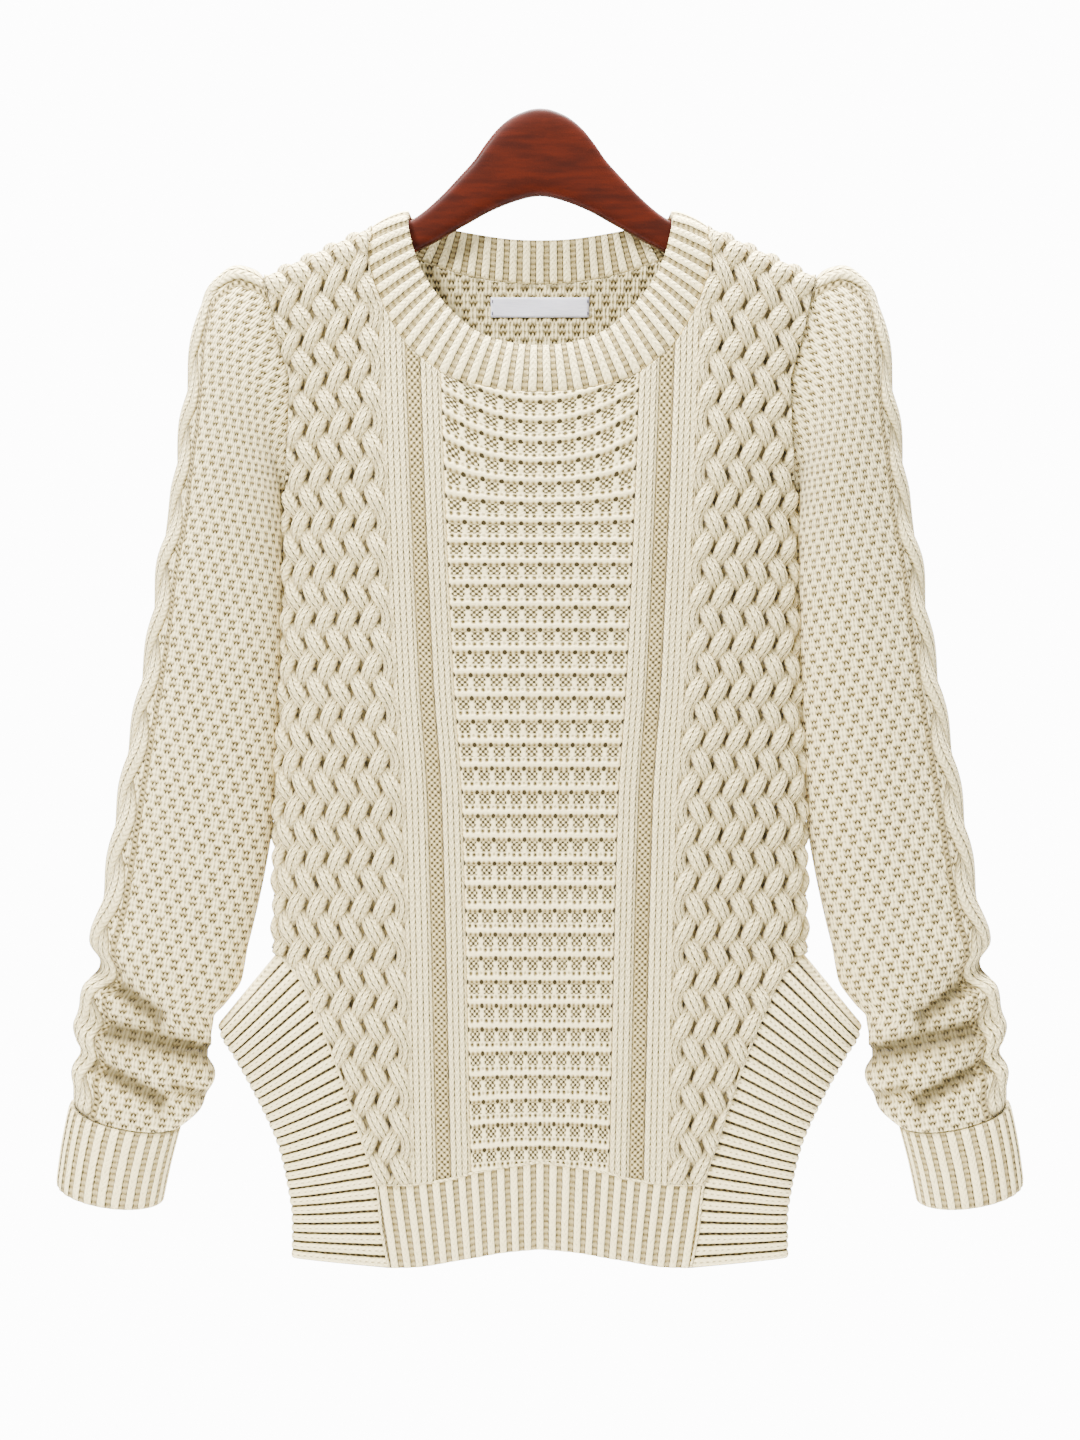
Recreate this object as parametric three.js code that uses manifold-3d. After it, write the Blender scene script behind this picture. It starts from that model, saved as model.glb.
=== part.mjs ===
// A cable knit pullover hanging on a wooden hanger, in millimetres, +Z up.
// The origin is the top centre of the hanger's crown. The front faces -Y, and the wearer's left is at +X.
// Cloth pieces are walls: cables, ribs and welts are raised in the outer points, and the inside is plain.

import * as THREE from 'three';
import Module from 'manifold-3d';

const wasm = await Module();
wasm.setup();

// Driving sizes

const SEAM = 0.3;
const CURVE_SLACK = 0.4;
const WALL = 3.2;
const RIB_WALL = 2.8;
const RIB_RELIEF = 1.5;
const CABLE_RELIEF = 3.2;
const KNIT_RELIEF = 1.6;
const WELT_RELIEF = 2.0;
const PURL_RELIEF = 0.2;
const ROPE_RELIEF = 3.0;
const MOSS_RELIEF = 0.8;

const SECTION_POWER = 2.4;
const SHOULDER_ROUND = 12;
const SHOULDER = { neckX: 106.6, neckZ: -76.5, slope: 0.458, flatX: 100, middleZ: -90, fade: 170 };

const CABLE = { pitch: 14.3, repeat: 14.8, lean: 0.3, columns: 13 };
const KNIT_COLUMN = { inner: 12.5, outer: 14, edge: 2 };
const PURL_HALF = 4.5;
const NECK_SMILE = { sag: 18, from: -180, to: -277 };
const HEM_ARCH = { rise: 14, from: -560, to: -660, halfWidth: 101 };

const NECK_RIBS = 62;
const HEM_RIBS = 25;
const SIDE_RIBS = 29;
const CUFF_RIBS = 24;

// Rope cable: length between crossings, swing and half-width of a strand in degrees from the outer line,
// and how much a strand sinks where the two cross
const ROPE = { crossing: 46, swing: 13, halfWidth: 15, sink: 0.225 };

const NECK_CROWN = 1.6;
const CREASE_AT_EDGES = 0.35;
const LABEL = { halfWidth: 31, top: -116, bottom: -128.5, thickness: 0.8 };
const HANGER = { halfThickness: 6, bevel: 4.6, tipX: 152, tipDrop: 3.6 };

// Grids: ends of the panels before they are cut, and where their rows and columns of points lie
const PANEL_END = 600;
const PANEL_REACH = 195;
const INNER_ROWS = [0, 5, 10, 15, 20, ...spread(60, PANEL_END, 11)];
const INNER_COLUMNS = [0, 60, 105, 130, 150, 168, PANEL_REACH];
const BACK_ROWS = [0, 6, 12, 20, ...spread(55, PANEL_END, 12)];
const BACK_COLUMNS = [0, 45, 85, 115, 135, 150, 162, 172, 181, PANEL_REACH];
const FIRST_ROWS = [0, 10, 20, 50];
const FIRST_WELT = 82;
const RIB_STEPS = [
  { at: 0, height: 0 },
  { at: 0.3, height: 1 },
  { at: 0.7, height: 1 },
];
const ROPE_ANGLES = [0, 13, 27, 42, 85, 132, 180, 228, 275, 318, 333, 347];
const PLAIN_ANGLES = [0, 45, 90, 135, 180, 225, 270, 315];
const SLEEVE_ROWS = { step: 11.5, wristStep: 8.5, wristFrom: 452, wristSection: 17 };

// Sections over which the sleeve's head turns into the armhole's loop
const HEAD_SECTIONS = 2.5;

// How closely the inside of a band is drawn in at its side edge
const EDGE_POWER = 16;

// Space that a panel's outline is cut from
const CUTTER = { depth: 90, above: -40, aside: 230 };

// Body section at each height: half-width, depth from the middle plane, and half the side slit's opening
const BODY = [
  { z: -50, width: 185, depth: 12.5, slit: 0 },
  { z: -95, width: 185, depth: 13.2, slit: 0 },
  { z: -107, width: 185, depth: 15, slit: 0 },
  { z: -125, width: 183, depth: 17.5, slit: 0 },
  { z: -150, width: 175, depth: 20.8, slit: 0 },
  { z: -172, width: 169, depth: 23.6, slit: 0 },
  { z: -203, width: 166.5, depth: 27, slit: 0 },
  { z: -230, width: 162, depth: 29.5, slit: 0 },
  { z: -241, width: 159, depth: 30.2, slit: 0 },
  { z: -283, width: 158.2, depth: 32.5, slit: 0 },
  { z: -320, width: 158.8, depth: 33.5, slit: 0 },
  { z: -370, width: 160.6, depth: 35, slit: 0 },
  { z: -423, width: 163.3, depth: 35.5, slit: 0 },
  { z: -503, width: 163.3, depth: 35.5, slit: 0 },
  { z: -527, width: 163.5, depth: 35.3, slit: 0 },
  { z: -536, width: 171, depth: 35.2, slit: 0 },
  { z: -551, width: 182.3, depth: 35, slit: 0 },
  { z: -559, width: 191, depth: 34.8, slit: 0 },
  { z: -567, width: 198.5, depth: 34.6, slit: 0 },
  { z: -572, width: 200.4, depth: 34.5, slit: 0 },
  { z: -580, width: 198.6, depth: 34.2, slit: 2.5 },
  { z: -591, width: 191.6, depth: 34, slit: 5 },
  { z: -603, width: 184.4, depth: 33.5, slit: 7 },
  { z: -621, width: 174.5, depth: 33, slit: 9.5 },
  { z: -648, width: 162.1, depth: 32, slit: 12.5 },
  { z: -678, width: 155.2, depth: 31, slit: 15 },
  { z: -692, width: 153.4, depth: 30.5, slit: 16 },
  { z: -735, width: 153.4, depth: 29.5, slit: 18 },
];

// Seams and edges in the front view: distance from the middle plane, and height
const ARMHOLE = [
  { z: -106.6, x: 172.4 },
  { z: -117, x: 169.5 },
  { z: -151, x: 161.8 },
  { z: -172, x: 156 },
  { z: -203, x: 157 },
  { z: -230, x: 158.4 },
  { z: -241, x: 159 },
];
const PURL_LINE = [
  { z: -50, x: 82 },
  { z: -162, x: 78.7 },
  { z: -360, x: 70.1 },
  { z: -432, x: 65.1 },
  { z: -660, x: 59.5 },
  { z: -720, x: 58 },
];
const WELT_PITCH = [
  { z: -150, pitch: 10.8 },
  { z: -212, pitch: 11.4 },
  { z: -255, pitch: 12.1 },
  { z: -300, pitch: 13.3 },
  { z: -342, pitch: 14 },
  { z: -430, pitch: 14.6 },
  { z: -720, pitch: 14.6 },
];
const SIDE_SEAM = [
  { x: 163.5, z: -527 },
  { x: 148.8, z: -541.9 },
  { x: 138.9, z: -562.3 },
  { x: 131.4, z: -579.7 },
  { x: 119.7, z: -611.3 },
  { x: 108.5, z: -646 },
  { x: 101.1, z: -669 },
  { x: 97.3, z: -700 },
  { x: 93, z: -721.1 },
];
const SIDE_EDGE = [
  { x: 200.4, z: -572 },
  { x: 198.6, z: -580 },
  { x: 191.6, z: -591 },
  { x: 184.4, z: -603 },
  { x: 174.5, z: -621 },
  { x: 162.1, z: -648 },
  { x: 155.2, z: -678 },
  { x: 153.4, z: -692 },
  { x: 153.4, z: -716.1 },
];
const HEM_SEAM = [
  { x: 101.1, z: -669 },
  { x: 80, z: -669 },
  { x: 56.4, z: -665.9 },
  { x: 43.4, z: -662.2 },
  { x: 24.8, z: -658.4 },
  { x: 0, z: -655 },
];
const HEM_EDGE = [
  { x: 93, z: -721.1 },
  { x: 73.6, z: -720.3 },
  { x: 52, z: -716.6 },
  { x: 40, z: -714.6 },
  { x: 22.8, z: -711.5 },
  { x: 0, z: -709.3 },
];

// Neckband stations from the front centre over the shoulder to the back centre: seam and free edge.
// The seam lies on the body, and edgeY is the depth of the free edge.
const NECK = [
  { side: -1, seamX: 0, seamZ: -179.5, edgeX: 0, edgeZ: -150, edgeY: -20 },
  { side: -1, seamX: 21.1, seamZ: -178.4, edgeX: 16, edgeZ: -148.9, edgeY: -20 },
  { side: -1, seamX: 44.6, seamZ: -173.6, edgeX: 33, edgeZ: -144.2, edgeY: -19.4 },
  { side: -1, seamX: 62, seamZ: -166.6, edgeX: 46, edgeZ: -136.6, edgeY: -18.4 },
  { side: -1, seamX: 83.1, seamZ: -148.8, edgeX: 61, edgeZ: -121.4, edgeY: -16.4 },
  { side: -1, seamX: 94.5, seamZ: -130.5, edgeX: 70.1, edgeZ: -109.1, edgeY: -14.6 },
  { side: -1, seamX: 103, seamZ: -111, edgeX: 76.9, edgeZ: -94.9, edgeY: -12.8 },
  { side: -1, seamX: 107.2, seamZ: -91.5, edgeX: 81.2, edgeZ: -79, edgeY: -10.8 },
  { side: -1, seamX: 106, seamZ: -79, edgeX: 82.8, edgeZ: -69.6, edgeY: -8.6 },
  { side: 0, seamX: 105, seamZ: -75.8, edgeX: 82, edgeZ: -64.7, edgeY: 0 },
  { side: 1, seamX: 102, seamZ: -77.5, edgeX: 80.6, edgeZ: -67, edgeY: 8.8 },
  { side: 1, seamX: 92, seamZ: -85.5, edgeX: 73, edgeZ: -69.6, edgeY: 11 },
  { side: 1, seamX: 70, seamZ: -95.6, edgeX: 60, edgeZ: -73.2, edgeY: 12.4 },
  { side: 1, seamX: 44.6, seamZ: -102.9, edgeX: 41, edgeZ: -76.8, edgeY: 13 },
  { side: 1, seamX: 21, seamZ: -106.8, edgeX: 20, edgeZ: -79.8, edgeY: 13.3 },
  { side: 1, seamX: 0, seamZ: -107.9, edgeX: 0, edgeZ: -80.6, edgeY: 13.4 },
];

// Sleeve sections from the armhole to the cuff in the front view: the outer line with its rope cable,
// the inner line, half the section's depth, and how far the front of the section hangs below its back
const SLEEVE = [
  { outerX: 172.4, outerZ: -104, innerX: 159.4, innerZ: -241, depth: 12, tilt: 0 },
  { outerX: 181, outerZ: -100.2, innerX: 163.6, innerZ: -242, depth: 15, tilt: 0 },
  { outerX: 189.5, outerZ: -98.6, innerX: 165, innerZ: -244.8, depth: 17.5, tilt: 0 },
  { outerX: 199, outerZ: -104, innerX: 165.6, innerZ: -248.5, depth: 20, tilt: 0 },
  { outerX: 207.7, outerZ: -112.8, innerX: 166.2, innerZ: -252.5, depth: 22, tilt: 0 },
  { outerX: 213.3, outerZ: -128.3, innerX: 166.6, innerZ: -258.5, depth: 24, tilt: 0 },
  { outerX: 217.6, outerZ: -148.2, innerX: 166.8, innerZ: -266, depth: 25, tilt: 0 },
  { outerX: 221, outerZ: -172, innerX: 166.9, innerZ: -277, depth: 26, tilt: 0 },
  { outerX: 226.3, outerZ: -205.8, innerX: 167, innerZ: -294, depth: 26, tilt: 0 },
  { outerX: 231.3, outerZ: -244.9, innerX: 167.1, innerZ: -315, depth: 26, tilt: 0 },
  { outerX: 238.5, outerZ: -276, innerX: 167.2, innerZ: -335, depth: 26, tilt: 1 },
  { outerX: 242.6, outerZ: -306.3, innerX: 167.4, innerZ: -356, depth: 25.5, tilt: 1 },
  { outerX: 247.5, outerZ: -336, innerX: 167.9, innerZ: -379, depth: 25, tilt: 2 },
  { outerX: 253.6, outerZ: -368.9, innerX: 168.8, innerZ: -404, depth: 24.5, tilt: 2 },
  { outerX: 263.5, outerZ: -419.7, innerX: 171, innerZ: -444, depth: 23.5, tilt: 3 },
  { outerX: 270, outerZ: -458, innerX: 175, innerZ: -477, depth: 22.5, tilt: 3 },
  { outerX: 276.5, outerZ: -497, innerX: 181.5, innerZ: -512, depth: 22, tilt: 4 },
  { outerX: 281.5, outerZ: -513, innerX: 183.5, innerZ: -525, depth: 22, tilt: 4 },
  { outerX: 283.3, outerZ: -522, innerX: 185, innerZ: -534, depth: 22.5, tilt: 5 },
  { outerX: 281.4, outerZ: -533, innerX: 187.2, innerZ: -545, depth: 21.5, tilt: 5 },
  { outerX: 287.1, outerZ: -548, innerX: 196.5, innerZ: -558.5, depth: 23, tilt: 6 },
  { outerX: 288.5, outerZ: -558, innerX: 204.6, innerZ: -568, depth: 22, tilt: 7 },
  { outerX: 291, outerZ: -565, innerX: 205, innerZ: -577, depth: 21.5, tilt: 7 },
  { outerX: 294, outerZ: -572, innerX: 202.4, innerZ: -586, depth: 21, tilt: 8 },
  { outerX: 293.8, outerZ: -578, innerX: 205.4, innerZ: -592, depth: 18.5, tilt: 8 },
  { outerX: 292.8, outerZ: -586, innerX: 203.4, innerZ: -602, depth: 20, tilt: 9 },
  { outerX: 293.5, outerZ: -598, innerX: 205.4, innerZ: -613, depth: 19.5, tilt: 9 },
  { outerX: 292.4, outerZ: -609, innerX: 212, innerZ: -624, depth: 18, tilt: 9 },
  { outerX: 294.3, outerZ: -621, innerX: 224, innerZ: -634.4, depth: 16.5, tilt: 9 },
];
const CUFF = [
  { outerX: 294.9, outerZ: -621.9, innerX: 224.3, innerZ: -635.3, depth: 16.5, tilt: 9 },
  { outerX: 299.6, outerZ: -646, innerX: 230.2, innerZ: -658, depth: 17, tilt: 9 },
  { outerX: 303.2, outerZ: -672, innerX: 235.2, innerZ: -681.5, depth: 17.5, tilt: 9 },
];

// Creases at the wrist in the front view, as lines from one end to the other
const CREASES = [
  { x1: 283, z1: -532, x2: 240, z2: -563, depth: 5, width: 8 },
  { x1: 276, z1: -571, x2: 199, z2: -589, depth: 9, width: 7 },
  { x1: 287, z1: -590, x2: 236, z2: -617, depth: 5, width: 7 },
  { x1: 226, z1: -610, x2: 205, z2: -617, depth: 3, width: 6 },
];

// Hanger's tip in the front view, from the tip's distance and the height of its shoulder there
const HANGER_TIP = [
  { in: 3, down: 0 },
  { in: 0, down: 5 },
  { in: 1, down: 11 },
  { in: 6, down: 15 },
];

// Hanger in the front view: height of its top and its underside at each distance from the middle
const HANGER_ARM = [
  { x: 0, top: 0, under: -54.6 },
  { x: 6.8, top: -0.9, under: -55.4 },
  { x: 16.7, top: -5, under: -58.2 },
  { x: 26, top: -12.4, under: -61.8 },
  { x: 34.1, top: -22.3, under: -65.6 },
  { x: 41.5, top: -32.9, under: -69.8 },
  { x: 51.5, top: -44, under: -75.4 },
  { x: 60.8, top: -53.9, under: -80.8 },
  { x: 71.9, top: -64, under: -86.8 },
  { x: 82, top: -70.6, under: -91.6 },
  { x: 105, top: -81.4, under: -101 },
  { x: 135, top: -94.6, under: -113.6 },
];

// Smooth curve through a table's column, with no overshoot between rows
function column(rows, key, name) {
  const t = rows.map((row) => row[key]);
  const y = rows.map((row) => row[name]);
  const last = rows.length - 1;
  const rate = t.slice(1).map((end, i) => (y[i + 1] - y[i]) / (end - t[i]));
  const slope = t.map((_, i) => {
    if (i === 0) return rate[0];
    if (i === last) return rate[last - 1];
    return rate[i - 1] * rate[i] <= 0 ? 0 : (2 * rate[i - 1] * rate[i]) / (rate[i - 1] + rate[i]);
  });
  const direction = Math.sign(t[last] - t[0]);
  return (at) => {
    let i = 0;
    while (i < last - 1 && (at - t[i + 1]) * direction > 0) i += 1;
    const step = t[i + 1] - t[i];
    const u = THREE.MathUtils.clamp((at - t[i]) / step, 0, 1);
    const u2 = u * u;
    const u3 = u2 * u;
    return (
      y[i] * (2 * u3 - 3 * u2 + 1) +
      y[i + 1] * (3 * u2 - 2 * u3) +
      step * (slope[i] * (u3 - 2 * u2 + u) + slope[i + 1] * (u3 - u2))
    );
  };
}

// The same rows with their number as the key, for tables that are read along a path
function numbered(rows) {
  return rows.map((row, index) => ({ ...row, index }));
}

function smooth(from, to, value) {
  const u = THREE.MathUtils.clamp((value - from) / (to - from), 0, 1);
  return u * u * (3 - 2 * u);
}

function spread(from, to, count) {
  return Array.from({ length: count + 1 }, (_, i) => from + ((to - from) * i) / count);
}

const bodyWidth = column(BODY, 'z', 'width');
const bodyDepth = column(BODY, 'z', 'depth');
const slitDepth = column(BODY, 'z', 'slit');
const armholeX = column(ARMHOLE, 'z', 'x');
const purlX = column(PURL_LINE, 'z', 'x');
const weltPitch = column(WELT_PITCH, 'z', 'pitch');

function shoulderZ(x) {
  const out = Math.max(Math.abs(x), SHOULDER.flatX);
  return SHOULDER.neckZ - SHOULDER.slope * (out - SHOULDER.neckX);
}

// Depth of the body's plain outer surface at a place in the front view
function bodyY(x, z) {
  const width = bodyWidth(z);
  const slit = slitDepth(z);
  const share = Math.min(1, Math.abs(x) / width);
  const section = (1 - share ** SECTION_POWER) ** (1 / SECTION_POWER);
  const drop = THREE.MathUtils.clamp((shoulderZ(x) - z) / SHOULDER_ROUND, 0, 1);
  return (slit + (bodyDepth(z) - slit) * section) * Math.sqrt(1 - (1 - drop) ** 2);
}

// Distance from the middle plane after a length of cloth s, measured round the section at height z.
// Past the side the cloth turns to the other face, and side is then -1.
function aroundBody(s, z) {
  const steps = 40;
  const width = bodyWidth(z);
  const reach = bodyDepth(z) - slitDepth(z);
  const walk = (limit) => {
    let length = 0;
    let x = 0;
    let y = reach;
    for (let i = 1; i <= steps; i += 1) {
      const angle = (Math.PI * i) / (2 * steps);
      const nextX = width * Math.sin(angle) ** (2 / SECTION_POWER);
      const nextY = reach * Math.max(0, Math.cos(angle)) ** (2 / SECTION_POWER);
      const piece = Math.hypot(nextX - x, nextY - y);
      if (length + piece >= limit) {
        return { x: x + ((nextX - x) * (limit - length)) / piece, length: limit };
      }
      length += piece;
      x = nextX;
      y = nextY;
    }
    return { x: width, length };
  };
  const out = Math.abs(s);
  const first = walk(out);
  if (first.length >= out) return { x: Math.sign(s) * first.x, side: 1 };
  return { x: Math.sign(s) * walk(2 * first.length - out).x, side: -1 };
}

// Height of a row of the knitting: rows follow the shoulder's slope at the top and level out below
function rowZ(x, q) {
  const quarter = (SHOULDER_ROUND * Math.PI) / 2;
  const rounded = SHOULDER_ROUND * (1 - Math.cos(Math.min(q, quarter) / SHOULDER_ROUND));
  const drop = rounded + Math.max(0, q - quarter);
  const follow = 1 - smooth(0, SHOULDER.fade, drop);
  return SHOULDER.middleZ - drop + (shoulderZ(x) - SHOULDER.middleZ) * follow;
}

// Place of length s round the body from its middle and length q down from the shoulder.
// face is -1 on the front and 1 on the back.
function bodyPoint(s, q, face) {
  const z = rowZ(Math.min(Math.abs(s), bodyWidth(-107)), q);
  const { x, side } = aroundBody(s, z);
  return new THREE.Vector3(x, face * side * bodyY(x, z), z);
}

// Outward normal of a surface given as a function of u across and v down
function normalAt(surface, u, v) {
  const h = 0.7;
  const across = surface(u + h, v).sub(surface(u - h, v));
  const down = surface(u, v + h).sub(surface(u, v - h));
  return down.cross(across).normalize();
}

// A skin collects points and triangles. Grids and paths run from left to right and from top to bottom,
// as seen from outside.
class Skin {
  constructor() {
    this.points = [];
    this.triangles = [];
  }

  row(points) {
    return points.map((point) => {
      this.points.push(point.x, point.y, point.z);
      return this.points.length / 3 - 1;
    });
  }

  grid(rows) {
    rows.slice(1).forEach((below, r) => {
      const above = rows[r];
      for (let c = 0; c + 1 < above.length; c += 1) {
        if ((r + c) % 2) {
          this.triangles.push(above[c], below[c], above[c + 1], above[c + 1], below[c], below[c + 1]);
        } else {
          this.triangles.push(above[c], below[c], below[c + 1], above[c], below[c + 1], above[c + 1]);
        }
      }
    });
  }

  // Triangles between two paths of any count of points, matched by their share of each path's length
  zip(left, right) {
    const a = this.shares(left);
    const b = this.shares(right);
    let i = 0;
    let j = 0;
    while (i + 1 < left.length || j + 1 < right.length) {
      const leftNext = i + 1 < left.length && (j + 1 >= right.length || a[i + 1] <= b[j + 1]);
      if (leftNext) {
        this.triangles.push(left[i], left[i + 1], right[j]);
        i += 1;
      } else {
        this.triangles.push(left[i], right[j + 1], right[j]);
        j += 1;
      }
    }
  }

  shares(path) {
    let total = 0;
    const lengths = path.map((index, i) => {
      if (i > 0) {
        const p = this.points.slice(index * 3, index * 3 + 3);
        const o = this.points.slice(path[i - 1] * 3, path[i - 1] * 3 + 3);
        total += Math.hypot(p[0] - o[0], p[1] - o[1], p[2] - o[2]);
      }
      return total;
    });
    return lengths.map((length) => length / total);
  }

  solid() {
    const made = new wasm.Manifold(
      new wasm.Mesh({
        numProp: 3,
        vertProperties: new Float32Array(this.points),
        triVerts: new Uint32Array(this.triangles),
      }),
    );
    if (made.volume() <= 0) throw new Error('a skin is inside out');
    return made;
  }
}

// Rows of points on a surface, each moved out along the normal by its height
function raised(surface, us, vs, height) {
  return vs.map((v) => us.map((u) => surface(u, v).addScaledVector(normalAt(surface, u, v), height(u, v))));
}

// Wall between a raised outer grid and a plain inner one, closed at its four sides
function panelWall(outerRows, innerRows) {
  const skin = new Skin();
  const outer = outerRows.map((row) => skin.row(row));
  const inner = innerRows.map((row) => skin.row([...row].reverse()));
  skin.grid(outer);
  skin.grid(inner);
  closeSides(skin, outer, inner);
  return skin.solid();
}

function closeSides(skin, outer, inner) {
  const first = (rows) => rows.map((row) => row[0]);
  const final = (rows) => rows.map((row) => row[row.length - 1]);
  skin.zip(final(outer), first(inner));
  skin.zip(final(inner), first(outer));
  skin.zip(outer[0], [...inner[0]].reverse());
  skin.zip([...inner[inner.length - 1]].reverse(), outer[outer.length - 1]);
}

// Wall between an outer and an inner tube: each row closes on itself
function tubeWall(outerRows, innerRows) {
  const skin = new Skin();
  const close = (row) => [...row, row[0]];
  const outer = outerRows.map((row) => close(skin.row(row)));
  const inner = innerRows.map((row) => close(skin.row(row)));
  const turned = inner.map((row) => [...row].reverse());
  skin.grid(outer);
  skin.grid(turned);
  skin.zip(outer[0], inner[0]);
  skin.zip(inner[inner.length - 1], outer[outer.length - 1]);
  return skin.solid();
}

// Front view outlines

function curve(rows, count) {
  return new THREE.SplineCurve(rows.map((row) => new THREE.Vector2(row.x, row.z))).getSpacedPoints(count);
}

// A path moved sideways by a distance, to its left when that is positive
function beside(path, distance) {
  return path.map((point, i) => {
    const before = path[Math.max(0, i - 1)];
    const after = path[Math.min(path.length - 1, i + 1)];
    const along = after.clone().sub(before).normalize();
    return new THREE.Vector2(point.x - along.y * distance, point.y + along.x * distance);
  });
}

function fromGeometry(geometry) {
  const flat = geometry.index ? geometry.toNonIndexed() : geometry;
  const position = flat.getAttribute('position');
  const known = new Map();
  const points = [];
  const triangles = [];
  for (let i = 0; i < position.count; i += 1) {
    const place = [position.getX(i), position.getY(i), position.getZ(i)];
    const name = place.map((value) => Math.round(value * 1e4)).join();
    if (!known.has(name)) {
      known.set(name, points.length / 3);
      points.push(...place);
    }
    triangles.push(known.get(name));
  }
  return new wasm.Manifold(
    new wasm.Mesh({
      numProp: 3,
      vertProperties: new Float32Array(points),
      triVerts: new Uint32Array(triangles),
    }),
  );
}

// Prism through the cloth whose outline is given in the front view, from depth y1 back to depth y2
function prism(outline, y1, y2) {
  const shape = new THREE.Shape(outline);
  const geometry = new THREE.ExtrudeGeometry(shape, { depth: y2 - y1, bevelEnabled: false });
  geometry.rotateX(Math.PI / 2);
  geometry.translate(0, y2, 0);
  return fromGeometry(geometry);
}

function neckSeam(side) {
  const stations = NECK.filter((row) => row.side === side || row.side === 0);
  const rows = stations.map((row) => ({ x: row.seamX, z: row.seamZ }));
  return side < 0 ? rows : rows.reverse();
}

function armholePath(count) {
  const heights = spread(ARMHOLE[0].z, ARMHOLE[ARMHOLE.length - 1].z, count);
  return heights.map((z) => new THREE.Vector2(armholeX(z), z));
}

// Outline of the front or back in the front view, for its right half, from the neck round to the hem
function panelOutline(face) {
  const gap = SEAM / 2;
  const neck = beside(curve(neckSeam(face), 18), -gap - CURVE_SLACK);
  const armhole = beside(armholePath(12), -gap);
  const side = beside(curve(SIDE_SEAM, 16).filter((point) => point.y > HEM_SEAM[0].z - 3), -gap);
  const hem = beside(curve(HEM_SEAM, 10), -gap);
  neck[0].x = 0;
  hem[hem.length - 1].x = 0;
  const top = neck[neck.length - 1];
  return [
    ...neck,
    new THREE.Vector2(top.x, CUTTER.above),
    new THREE.Vector2(armhole[0].x, CUTTER.above),
    ...armhole,
    new THREE.Vector2(CUTTER.aside, armhole[armhole.length - 1].y),
    new THREE.Vector2(CUTTER.aside, side[0].y),
    ...side,
    ...hem.slice(2),
  ];
}

function mirrored(outline) {
  const left = outline
    .filter((point) => point.x > 0)
    .reverse()
    .map((point) => new THREE.Vector2(-point.x, point.y));
  return [...outline, ...left];
}

function trimPanel(wall, face) {
  const outline = mirrored(panelOutline(face));
  const near = SEAM / 2;
  const cutter = face < 0 ? prism(outline, -CUTTER.depth, -near) : prism(outline, near, CUTTER.depth);
  return wall.intersect(cutter);
}

// Front: waffle panel, knit and purl columns, and basket cables at both sides

// Row numbers down the cable: two rows of points for each half repeat, near the middle of a strand
function cableRows() {
  const rows = [{ q: 0, half: 0, lean: 0 }];
  for (let half = 0; half * CABLE.repeat < PANEL_END; half += 1) {
    [-CABLE.lean, CABLE.lean].forEach((lean) => {
      const q = (half + lean) * CABLE.repeat;
      if (q > 1) rows.push({ q, half, lean });
    });
  }
  return rows;
}

// Columns of one side, from the purl column out: knit column, then the cable's crests and gaps
function sideColumns(z, row) {
  const start = purlX(z) + PURL_HALF;
  const cable = start + KNIT_COLUMN.outer;
  const turn = row.half % 2 ? -1 : 1;
  const shift = (turn * row.lean * CABLE.pitch) / 2;
  const columns = [
    { s: start, height: PURL_RELIEF },
    { s: start + KNIT_COLUMN.edge, height: KNIT_RELIEF },
  ];
  for (let k = 0; k <= CABLE.columns; k += 1) {
    const crest = (k + row.half) % 2 === 0;
    columns.push({ s: cable + (k * CABLE.pitch) / 2 + shift, height: crest ? CABLE_RELIEF : PURL_RELIEF });
  }
  columns[columns.length - 1].s = PANEL_REACH;
  return columns;
}

function frontSide(face, hand) {
  const surface = (s, q) => bodyPoint(s, q, face);
  return cableRows().map((row) => {
    const columns = sideColumns(rowZ(120, row.q), row);
    const points = columns.map(({ s, height }) => {
      const rise = row.q === 0 ? 0 : height;
      return surface(hand * s, row.q).addScaledVector(normalAt(surface, hand * s, row.q), rise);
    });
    return hand < 0 ? points.reverse() : points;
  });
}

// Rows of the waffle panel: a crest and a valley for each welt, below a plain start inside the neck
function weltRows() {
  const rows = FIRST_ROWS.map((q) => ({ q, height: 0 }));
  let q = FIRST_WELT;
  while (q < PANEL_END) {
    const pitch = weltPitch(rowZ(0, q));
    rows.push({ q, height: WELT_RELIEF });
    rows.push({ q: q + pitch / 2, height: PURL_RELIEF });
    q += pitch;
  }
  return rows;
}

function frontMiddle(face) {
  const surface = (s, q) => bodyPoint(s, q, face);
  return weltRows().map((row) => {
    const z = rowZ(0, row.q);
    const knitEdge = purlX(z) - PURL_HALF;
    const waffle = knitEdge - KNIT_COLUMN.inner;
    const smile = NECK_SMILE.sag * (1 - smooth(-NECK_SMILE.from, -NECK_SMILE.to, -z));
    const arch = HEM_ARCH.rise * smooth(-HEM_ARCH.from, -HEM_ARCH.to, -z);
    const half = [
      { s: 0, height: row.height },
      { s: waffle, height: row.height / 2 },
      { s: waffle + KNIT_COLUMN.edge, height: KNIT_RELIEF },
      { s: knitEdge - KNIT_COLUMN.edge, height: KNIT_RELIEF },
      { s: knitEdge, height: PURL_RELIEF },
    ];
    const other = half.slice(1).reverse().map(({ s, height }) => ({ s: -s, height }));
    return [...other, ...half].map(({ s, height }) => {
      const curved = arch * (s / HEM_ARCH.halfWidth) ** 2 - smile * (s / waffle) ** 2;
      const q = row.q + (row.q < FIRST_WELT ? 0 : curved);
      return surface(s, q).addScaledVector(normalAt(surface, s, q), height);
    });
  });
}

function bothSides(half) {
  return [...half.slice(1).reverse().map((s) => -s), ...half];
}

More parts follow.
